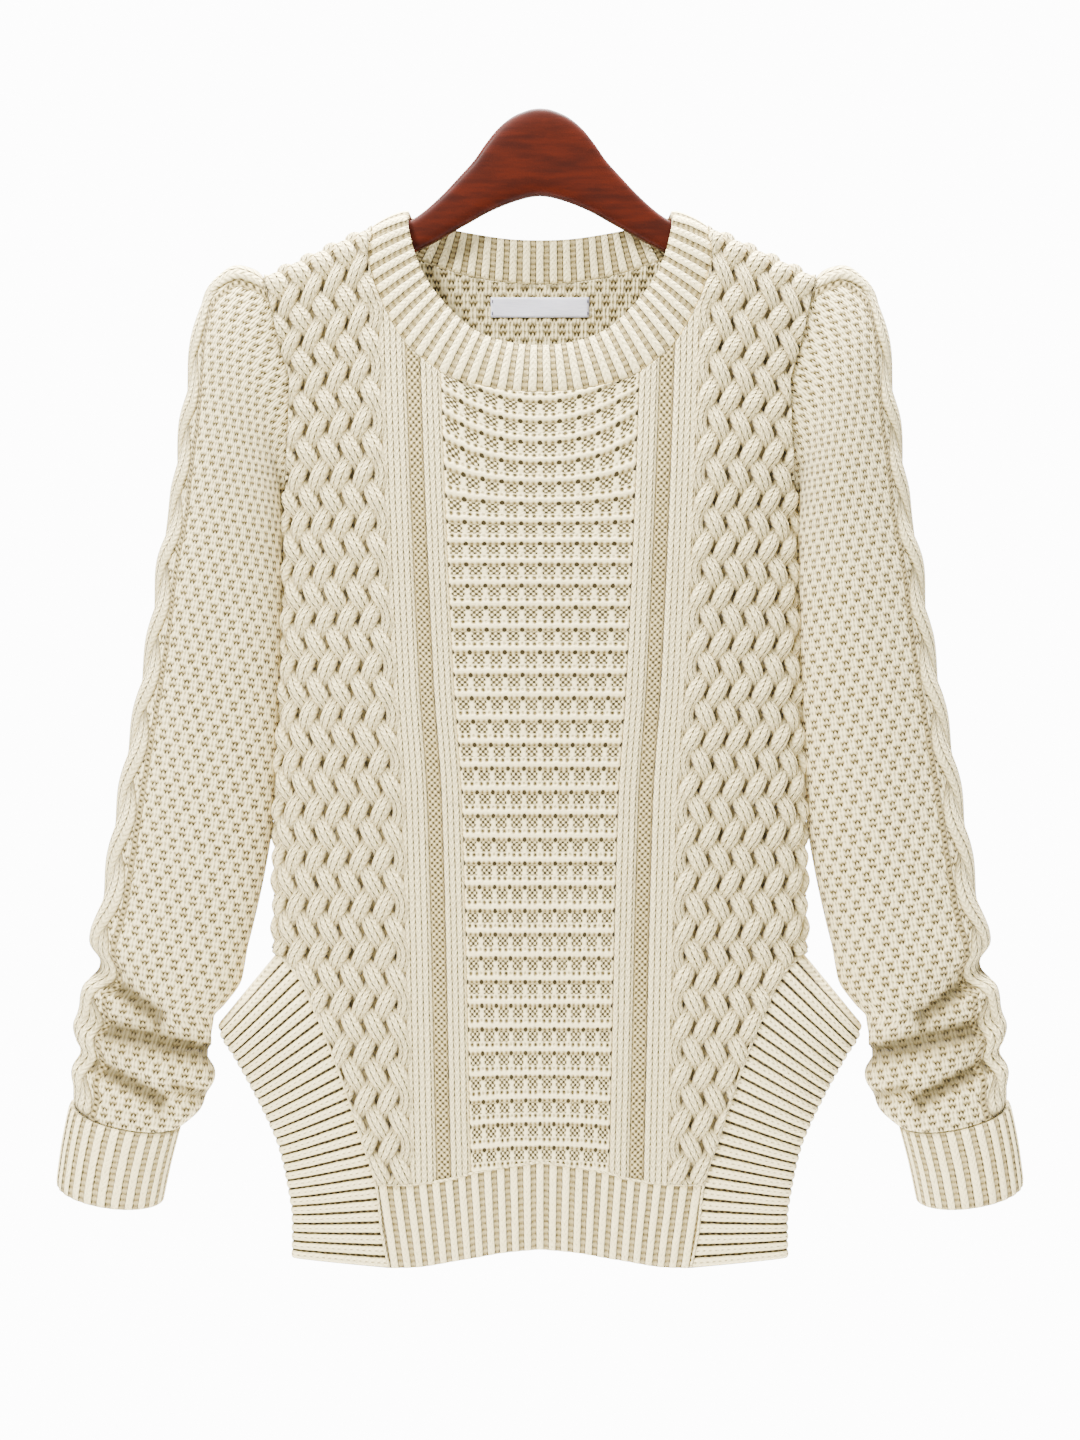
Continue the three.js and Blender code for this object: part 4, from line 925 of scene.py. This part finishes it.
def band(first, second, ribs, face, hand, edging, crest, height, dark, rows=11, gather=0):
    """Closed ribbed band between two front view curves, with its ribs from the first to the second.

    gather is the share of the length over which the first end closes on the middle plane.
    """
    u = np.linspace(0, 1, ribs * RIB_SAMPLES + 1)
    w = 0.5 - 0.5 * np.cos(np.linspace(0, math.pi, rows))
    a, b = spline(first, u), spline(second, u)
    x, z = np.moveaxis(a[:, None] + (b - a)[:, None] * w[:, None], -1, 0)
    closing = (u < gather) * (1 - smooth(0, max(gather, 0.01), u))
    y = face * np.maximum(SEAM / 2, body_y(x, z) * (1 - closing[:, None] * smooth(0, 0.3, w)))
    base = np.stack([x, y, z], -1)
    ends = np.clip(np.minimum(w, 1 - w) * rows * 1.2, 0, 1)
    relief = rib_relief(u * ribs, crest, height)[:, None] * (0.55 + 0.45 * ends)
    outer = outward(base, face, relief)
    outer[..., 1] = face * np.maximum(SEAM / 2, outer[..., 1] * face)
    inner = drawn_in(base, face, RIB_WALL, edging(w))
    inner[..., 1] += face * 0.5 * rib_relief(u * ribs + 0.5, 0.3)[:, None] * (np.abs(inner[..., 1]) > 3)
    loop = np.concatenate([outer, inner[:, ::-1]], 1) * (hand, 1, 1)
    around = np.concatenate([w, w[::-1], [w[0]]]) * np.linalg.norm(b - a, axis=1)[:, None] / COURSE
    valley = valleys(relief, relief.max(), dark)
    # Painted shade: darker in the rib valleys, and an even painted shade on the inner wall
    depth = np.concatenate([valley, np.full_like(valley, 0.6)], 1)
    flip = face * hand > 0
    side = grid(loop, (u * ribs)[:, None], around, depth, around=True, flip=not flip)
    return capped(side, *loop.shape[:2], not flip)


def side_band(face, hand):
    """Band that flares from the side seam to its free edge, with its ribs fanned"""
    seam = beside(flat_curve(SIDE_SEAM, 32), SEAM / 2)
    edge = flat_curve(SIDE_EDGE, 48)
    edging = lambda w: 0.1 + 0.9 * smooth(0, 0.5, w)
    return band(seam, edge, SIDE_RIBS, face, hand, edging, 0.46, 2.3, 0.14, rows=15, gather=0.05)


def full_width(half):
    """A half's path and its mirror image, from one side to the other"""
    return np.concatenate([half * (-1, 1), half[::-1][1:]])


def hem(face):
    top = full_width(flat_curve(HEM_SEAM, 20)) - (0, SEAM)
    bottom = full_width(flat_curve(HEM_EDGE, 24))
    return band(top, bottom, HEM_RIBS, face, 1, lambda w: 0 * w, 0.38, 1.9, 0.32)


def neck_loops():
    """Closed lines of the neckband's seam and free edge"""
    loop = lambda name, sign=1: np.concatenate([NECK[name], sign * NECK[name][-2:0:-1]])
    x, z = loop("seam_x", -1), loop("seam_z")
    seam = np.stack([x, loop("side") * body_y(x, z), z], 1)
    edge = np.stack([loop("edge_x", -1), loop("edge_y"), loop("edge_z")], 1)
    return seam, edge


def neckband():
    """Ribbed ring between the neck seam and its free edge, rounded outwards"""
    seam, edge = neck_loops()
    middle = (seam + edge) / 2
    fine = np.linspace(0, 1, 1601)
    lengths = run(spline(middle, fine, True))
    ribs = np.arange(NECK_RIBS * RIB_SAMPLES + 1) / RIB_SAMPLES
    u = np.interp(ribs / NECK_RIBS * lengths[-1], lengths, fine)
    a, b = spline(seam, u, True), spline(edge, u, True)
    normal = unit(np.cross(unit(spline(middle, u + 0.002, True) - spline(middle, u - 0.002, True)), b - a))
    w = 0.5 - 0.5 * np.cos(np.linspace(0, math.pi, 11))[:, None]
    ends = np.clip(np.minimum(w, 1 - w) * 12, 0, 1)
    crown = NECK_CROWN * 4 * w * (1 - w)
    relief = rib_relief(ribs) * (0.4 + 0.6 * ends)
    back_relief = rib_relief(ribs + 0.5, 0.34) * ends * 0.6
    outer, inner = (a + (b - a) * w[..., None] + normal * height[..., None]
                    for height in (crown + relief, crown - RIB_WALL - back_relief))
    v = np.linalg.norm((b - a)[:-1], axis=1).mean() * w / COURSE + 0 * ribs
    # Painted shade: darker in the rib valleys outside, and shaded inside between its ribs
    depth = valleys(relief), np.clip(back_relief / RIB_RELIEF * 2, 0.3, 0.9)
    return double_wall(outer, inner, (ribs + 0 * w, ribs + 0.5 + 0 * w), (v, v), depth)


# Sleeves and cuffs

def sections(rows):
    """Sections of a tube at a row number: outer line, inner line, depth and tilt"""
    row = np.arange(len(rows["depth"]), dtype=float)
    read = {name: column({"row": row, name: values}, "row", name) for name, values in rows.items()}
    return lambda v: {name: curve(np.clip(v, 0, row[-1])) for name, curve in read.items()}


# The sleeve lies against the side of the body down to about the waist: how far its inner line moves in
CONTACT = table("row move", [(0.5, 0), (3, 4.6), (6, 6), (10, 5.6), (13.5, 4.4), (17, 0)])
SLEEVE["inner_x"] = SLEEVE["inner_x"] - np.interp(np.arange(len(SLEEVE["depth"])), *CONTACT.values())

sleeve_at = sections(SLEEVE)
cuff_at = sections(CUFF)


def section_point(section, angle, inset, relief):
    """Point of a section: angle 0 is the outer line, 90 degrees the front and 180 the inner line"""
    outer = np.stack([section["outer_x"], section["outer_z"]], -1)
    inner = np.stack([section["inner_x"], section["inner_z"]], -1)
    axis = unit(outer - inner)
    outer, inner = outer - axis * inset, inner + axis * inset
    half = (np.linalg.norm(outer - inner, axis=-1) - relief) / 2
    middle = (outer - axis * np.asarray(relief)[..., None] + inner) / 2
    flat = middle + axis * (half * np.cos(angle))[..., None]
    turn = np.sin(angle)
    y = -(section["depth"] - inset) * turn
    return np.stack([flat[..., 0], y, flat[..., 1] - section["tilt"] * turn], -1)


def armhole_point(angle, inset):
    """Point of the armhole's ring, where the sleeve starts"""
    top, bottom = ARMHOLE["z"][0] - inset, ARMHOLE["z"][-1] + inset
    z = (top + bottom) / 2 + (top - bottom) / 2 * np.cos(angle)
    x = armhole_x(z)
    turn = np.sin(angle)
    depth = np.maximum(np.abs(turn), body_y(x, z) - inset)
    return np.stack([x + SEAM / 2, -np.sign(turn) * depth * (np.abs(turn) > 1e-6), z], -1)


def sleeve_point(angle, v, inset=0.0):
    """Point of the sleeve without its creases: the head leads over from the armhole"""
    angle, v = np.broadcast_arrays(angle, v)
    point = section_point(sleeve_at(v), angle, inset, ROPE_RELIEF)
    head = (np.maximum(0, 1 - v / HEAD_SECTIONS) ** 2)[..., None]
    return point + (armhole_point(angle, inset) - point) * head


def creases_at(x, z):
    """For each crease: how far a place is beside and under its line, its depth and its width"""
    for x1, z1, x2, z2, depth, width in zip(*CREASES.values()):
        dx, dz = x2 - x1, z2 - z1
        share = np.clip(((x - x1) * dx + (z - z1) * dz) / (dx * dx + dz * dz), 0, 1)
        yield x - x1 - share * dx, z1 + share * dz - z, depth, width


def crease(x, z):
    """How far the creases at the wrist draw the cloth in"""
    return sum(depth * np.exp(-(np.hypot(aside, under) / width) ** 2)
               for aside, under, depth, width in creases_at(x, z))


def fold_shade(x, z):
    """Shade under each crease, from 0 to 1, that fades downwards"""
    most = np.zeros_like(x)
    for aside, under, depth, width in creases_at(x, z):
        reach = np.where(under > 0, 2.1 * width, 0.5 * width)
        shade = min(depth / DEEP_CREASE, 1) * np.exp(-(under / reach) ** 2 - (aside / width) ** 2)
        most = np.maximum(most, shade)
    return most


def sleeve_surface(angle, v, height, inset=0.0):
    """Points of the creased sleeve moved out by a height"""
    step = 0.04
    last = len(SLEEVE["depth"]) - 1
    around = sleeve_point(angle + step, v) - sleeve_point(angle - step, v)
    down = sleeve_point(angle, np.minimum(v + step, last)) - sleeve_point(angle, np.maximum(v - step, 0))
    normal = unit(np.cross(around, down))
    flat = sleeve_point(angle, v)
    drawn = crease(flat[..., 0], flat[..., 2]) * (0.35 + 0.65 * np.abs(np.sin(angle)))
    return sleeve_point(angle, v, inset) + normal * (height - drawn)[..., None]


SLEEVE_LEAN = math.radians(10)
ROPE_TURN = math.radians(23)
ROPE_SWING = math.radians(9.5)
ROPE_HALF = 4.7
ROPE_TOP = 2.2
ROPE_RISE = 1.7
ROPE_SUNK = 0.4
BORDER_WIDTH = 3.4
LEAST_RADIUS = 12
CONTACT_SHADE = 0.75


def even_rows(step):
    """Section numbers and lengths at even steps along the sleeve's outer line, each as a column"""
    v = np.linspace(0, len(SLEEVE["depth"]) - 1, 2801)
    line = sleeve_at(v)
    length = run(np.stack([line["outer_x"], line["outer_z"]], 1))
    goals = np.linspace(0, length[-1], int(length[-1] / step))[:, None]
    return np.interp(goals, length, v), goals


def sleeve():
    """Tube of moss knit whose blocks lie straight over the front of the sleeve"""
    columns = 104
    angle = np.linspace(0, 2 * math.pi, columns + 1)[None]
    v, _ = even_rows(2.5)
    rounding = np.full_like(v, 0.6)
    rounding[[0, -1]] = 0
    outer = sleeve_surface(angle, v, rounding)
    inner_v = v[::2] if len(v) % 2 else np.concatenate([v[::2], v[-1:]])
    inner = sleeve_surface(angle, inner_v, 0, WALL)
    steps = np.linalg.norm(np.diff(outer, axis=1), axis=2)
    arc = np.concatenate([np.zeros((len(v), 1)), np.cumsum(steps, axis=1)], axis=1)
    front = columns // 4
    across = math.cos(SLEEVE_LEAN), math.sin(SLEEVE_LEAN)
    along = math.sin(SLEEVE_LEAN), -math.cos(SLEEVE_LEAN)
    u = ((outer[:, front][:, [0, 2]] @ across + arc[:, front])[:, None] - arc) / MOSS_WALES
    inner_u = np.broadcast_to(angle * 4, inner.shape[:2])
    rows, inner_rows = (wall[..., [0, 2]] @ along / MOSS_ROWS for wall in (outer, inner))
    against = np.exp(-((angle - math.pi) / 0.3) ** 2) * smooth(3, 8, v) * (1 - smooth(15, 18, v))
    shade = np.maximum(fold_shade(outer[..., 0], outer[..., 2]), CONTACT_SHADE * against)
    # Painted shade: under the creases, against the body, and evenly on the inner wall
    depth = np.clip(1 - shade, 0.12, 1), np.full(inner.shape[:2], 0.5)
    return double_wall(outer, inner, (u, inner_u), (rows, inner_rows), depth)


def rope_turn(length):
    """Share of the rope's turn round the sleeve: it starts near the top of the sleeve head"""
    return 0.3 + 0.7 * smooth(10, 110, length)


def on_sleeve(angle, v, length, height, u, depth):
    """Closed piece that lies along the sleeve, at a height above it"""
    outer = grid(sleeve_surface(angle, v, height), u, length / COURSE, depth, flip=True)
    return thickened(outer, sleeve_surface(angle, v, -ROOT_DEPTH).reshape(-1, 3))


def rope():
    """Two strands along the outer line that cross again and again"""
    across, rise = strand_profile(9)
    v, length = even_rows(2.2)
    phase = math.pi * length / ROPE_CROSSING
    radius = np.maximum(sleeve_at(v)["depth"], LEAST_RADIUS)
    ends = smooth(0, 12, length) * smooth(length[-1], length[-1] - 6, length)
    shapes = []
    for sign in (1, -1):
        over = sign * np.sin(phase)
        centre = (ROPE_TURN + ROPE_SWING * sign * np.cos(phase)) * rope_turn(length)
        angle = centre + across * (ROPE_HALF / radius) * (0.95 + 0.2 * over)
        height = ((ROPE_TOP + ROPE_RISE * over) * ends + ROPE_SUNK) * rise
        # Painted shade: each strand darker where it dives under the other
        depth = np.clip((height - ROPE_SUNK) / 2.4, 0, 1)
        shapes.append(on_sleeve(angle, v, length, height, (across + 1) / 2 * STRAND_WALES, depth))
    return joined(shapes)


def rope_border():
    """Purl column at the inner border of the rope"""
    share = np.linspace(0, 1, 5)[None]
    v, length = even_rows(3)
    radius = np.maximum(sleeve_at(v)["depth"], LEAST_RADIUS)
    centre = (ROPE_TURN + ROPE_SWING) * rope_turn(length) + (ROPE_HALF + 0.9) / radius
    angle = centre + (share - 0.5) * BORDER_WIDTH / radius
    height = np.where((share == 0) | (share == 1), 0.45, 0.75)
    # Painted shade: the border column is darkened (depth 0.35) beside the raised rope
    return on_sleeve(angle, v, length, height, share, 0.35)


def cuff():
    """Ribbed tube below the sleeve"""
    count = CUFF_RIBS * RIB_SAMPLES
    v = np.linspace(0, 2, 15)[:, None]
    angle = (np.arange(count + 1) / count * 2 * math.pi)[None] + 0 * v
    ribs = angle / (2 * math.pi) * CUFF_RIBS
    relief = rib_relief(ribs) * (0.4 + 0.6 * np.clip(np.minimum(v, 2 - v) * 6, 0, 1))
    section = cuff_at(v + 0 * angle)
    wide = {**section, "depth": section["depth"] + relief}
    outer = section_point(wide, angle, 0, RIB_RELIEF - relief)
    inner = section_point(section, angle, RIB_WALL, RIB_RELIEF)
    rows = CUFF_LENGTH / COURSE * v / 2 + 0 * angle
    # Painted shade: darker in the rib valleys, and an even painted shade on the inner wall
    return double_wall(outer, inner, (ribs, ribs), (rows, rows), (valleys(relief), np.full_like(relief, 0.5)))


def mirrored(shape):
    return Shape(shape.points * (-1, 1, 1), shape.faces[:, ::-1], shape.stitches[:, ::-1], shape.depth)


# Small pieces

LABEL_HALF = 31
LABEL_HEIGHTS = (-116, -128.5)


def tube(path, radius, beads=None, sides=8):
    """Closed tube along a path, thinner between its beads if a bead's length is given"""
    along = unit(np.gradient(path, axis=0))
    side = unit(np.cross(along, (0.0, 1.0, 0.03)))
    up = np.cross(side, along)
    length = run(path)
    size = np.full(len(path), radius)
    if beads:
        size = radius * (0.6 + 0.4 * np.abs(np.sin(math.pi * length / beads)))
    size[[0, -1]] = 0.02
    angle = np.linspace(0, 2 * math.pi, sides, endpoint=False)
    ring = side[:, None] * np.cos(angle)[None, :, None] + up[:, None] * np.sin(angle)[None, :, None]
    points = path[:, None] + ring * size[:, None, None]
    u = np.linspace(0, 1, sides + 1)[None]
    return capped(grid(points, u, (length / COURSE)[:, None], 0.9, around=True), *points.shape[:2])


def seam_cord(flat, face, height, radius=1.0, beads=3.2):
    """Line of seam stitches along a front view path"""
    fine = spaced(flat, int(run(flat)[-1] / 0.8))
    y = face * np.maximum(SEAM, body_y(fine[:, 0], fine[:, 1]))
    base = np.stack([fine[:, 0], y, fine[:, 1]], 1)
    return tube(outward(base, face, np.full(len(base), height)), radius, beads)


def seams(face):
    side = flat_curve(SIDE_SEAM, 32)
    shapes = [seam_cord(side * (hand, 1), face, 1.2) for hand in (-1, 1)]
    shapes.append(seam_cord(full_width(flat_curve(HEM_SEAM, 20)), face, 0.9))
    return joined(shapes)


def down_to(z):
    """Length from the top of the back down to a height near the label"""
    fine = np.linspace(20, 60, 161)
    return np.interp(-z, -row_z(0, fine), fine)


def label():
    """Blank label on the inside of the back"""
    s = np.linspace(-LABEL_HALF, LABEL_HALF, 32)[None]
    top, bottom = map(down_to, LABEL_HEIGHTS)
    q = np.linspace(top, bottom, 9)[:, None]
    ripple = 0.35 * np.sin(s / 7.5) * np.sin(math.pi * (q - top) / (bottom - top))
    outer, inner = (lifted(body_surface(1), s, q, ripple - 0.1 - (WALL + SEAM + deep)) for deep in (0, 0.5))
    return thickened(grid(outer, s / 2, q / 2), inner.reshape(-1, 3))


def label_stitches():
    """Stitch across each corner of the label"""
    reach = np.linspace(-1.1, 1.1, 7)
    top, bottom = LABEL_HEIGHTS
    corners = [(s, z) for s in (1 - LABEL_HALF, LABEL_HALF - 1) for z in (top - 2.5, bottom + 2.5)]
    paths = [lifted(body_surface(1), s + 0 * reach, down_to(z) + reach, -(WALL + SEAM + 0.95))
             for s, z in corners]
    return joined([tube(path, 0.35) for path in paths])


def hanger():
    """Hanger: rounded sections along its arms"""
    arm = spline(np.stack(list(HANGER_ARM.values()), 1), np.linspace(0, 1, 90))
    x, top, under = np.concatenate([arm[:0:-1] * (-1, 1, 1), arm]).T[..., None]
    angle = np.linspace(0, 2 * math.pi, 40, endpoint=False)[None]
    high, wide = (np.sign(way) * np.abs(way) ** (2 / HANGER_POWER) for way in (np.sin(angle), np.cos(angle)))
    half = (top - under) / 2
    y = -wide * HANGER_HALF_THICKNESS * np.minimum(1, (half / 8) ** 0.5)
    points = np.stack([x + 0 * y, y, (top + under) / 2 + high * half], -1)
    return capped(grid(points, 0, 0, around=True), *points.shape[:2])


# The garment

front = piece("front_cloth", panel_shell(-1), PURL, "front")
back = piece("back_cloth", panel_shell(1), MOSS, "back")
front_parts = [
    piece("front_waffle", waffle_panel(), WAFFLE),
    piece("front_knit_columns", knit_columns(), KNIT),
    piece("front_purl_columns", purl_columns(), PURL),
    piece("front_cable_left", cable_side(1), KNIT),
    piece("front_cable_right", cable_side(-1), KNIT),
]

sleeve_shape, rope_shape, border_shape, cuff_shape = sleeve(), rope(), rope_border(), cuff()
turned = {"left": lambda shape: shape, "right": mirrored}
sleeves, cuffs, ropes = {}, {}, {}
for hand, turn in turned.items():
    sleeves[hand] = piece(f"sleeve_{hand}_cloth", turn(sleeve_shape), MOSS, f"sleeve_{hand}")
    ropes[hand] = [
        piece(f"sleeve_{hand}_rope", turn(rope_shape), KNIT),
        piece(f"sleeve_{hand}_rope_border", turn(border_shape), PURL),
    ]
    cuffs[hand] = piece(f"cuff_{hand}_cloth", turn(cuff_shape), RIB, f"cuff_{hand}")

neck = piece("neckband_cloth", neckband(), RIB, "neckband")
hems, bands, cords = {}, {}, {}
for face, side in ((-1, "front"), (1, "back")):
    hems[side] = piece(f"hem_{side}_cloth", hem(face), RIB, f"hem_{side}")
    for hand, name in ((1, "left"), (-1, "right")):
        bands[side, name] = piece(f"side_band_{side}_{name}_cloth", side_band(face, hand), SIDE_RIB,
                                  f"side_band_{side}_{name}")
    cords[side] = piece(f"seam_stitches_{side}", seams(face), KNIT)

SATIN, THREAD, WOOD = satin(), thread(), wood()
neck_label = piece("neck_label_satin", label(), SATIN, "neck_label")
corner_stitches = piece("neck_label_stitches", label_stitches(), THREAD)
wooden_hanger = piece("hanger_wood", hanger(), WOOD, "hanger")

# Camera, light and floor

CAMERA_AWAY = 2.2
VIEW_HEIGHT = 0.893
VIEW_MIDDLE = -0.3825
GARMENT_FRONT = 0.02
FLOOR_HEIGHT = -1.2
FLOOR_RADIUS = 1.75


def floor():
    """Pale round floor that fades out at its rim"""
    turn = np.linspace(0, 2 * math.pi, 64, endpoint=False)
    rim = [(FLOOR_RADIUS * math.cos(a), FLOOR_RADIUS * math.sin(a), FLOOR_HEIGHT) for a in turn]
    mesh = bpy.data.meshes.new("floor")
    mesh.from_pydata(rim, [], [tuple(range(len(rim)))])
    white = {"Base Color": (0.93, 0.93, 0.93, 1), "Roughness": 1.0}
    material, tree, shader = new_material("floor_white", white)
    place = tree.nodes.new("ShaderNodeTexCoord")
    away = tree.nodes.new("ShaderNodeVectorMath")
    away.operation = "DISTANCE"
    away.inputs[1].default_value = (0, 0, FLOOR_HEIGHT)
    tree.links.new(place.outputs["Object"], away.inputs[0])
    solid = Value(tree, away.outputs["Value"]).step(FLOOR_RADIUS, 0.4 * FLOOR_RADIUS)
    tree.links.new(solid.socket, shader.inputs["Alpha"])
    mesh.materials.append(material)
    placed("floor", mesh)


def area_light(name, place, target, size, power):
    light = bpy.data.lights.new(name, "AREA")
    light.shape = "DISK"
    light.size = size
    light.energy = power
    made = placed(name, light)
    made.location = place
    made.rotation_euler = (Vector(target) - Vector(place)).to_track_quat("-Z", "Y").to_euler()


def camera():
    made = placed("camera", bpy.data.cameras.new("camera"))
    made.location = (0, -CAMERA_AWAY, VIEW_MIDDLE)
    made.rotation_euler = (math.pi / 2, 0, 0)
    made.data.lens = made.data.sensor_width * (CAMERA_AWAY - GARMENT_FRONT) / VIEW_HEIGHT
    bpy.context.scene.camera = made


def studio_world(light, seen):
    """White world that lights the scene softly and is brighter where it is seen"""
    world = bpy.data.worlds.new("studio")
    world.use_nodes = True
    tree = world.node_tree
    sky = next(node for node in tree.nodes if node.type == "BACKGROUND")
    sky.inputs["Color"].default_value = (1, 1, 1, 1)
    ray = tree.nodes.new("ShaderNodeLightPath")
    level = Value(tree, ray.outputs["Is Camera Ray"]) * (seen - light) + light
    tree.links.new(level.socket, sky.inputs["Strength"])
    bpy.context.scene.world = world


floor()
camera()
area_light("key", place=(-1.3, -1.5, 1.1), target=(0, 0, -0.35), size=0.7, power=170)
area_light("fill", place=(1.6, -1.9, 0.0), target=(0, 0, -0.4), size=1.8, power=21)
area_light("top", place=(0, 0.3, 1.9), target=(0, 0, -0.36), size=2.2, power=940)
studio_world(light=0.54, seen=13.0)
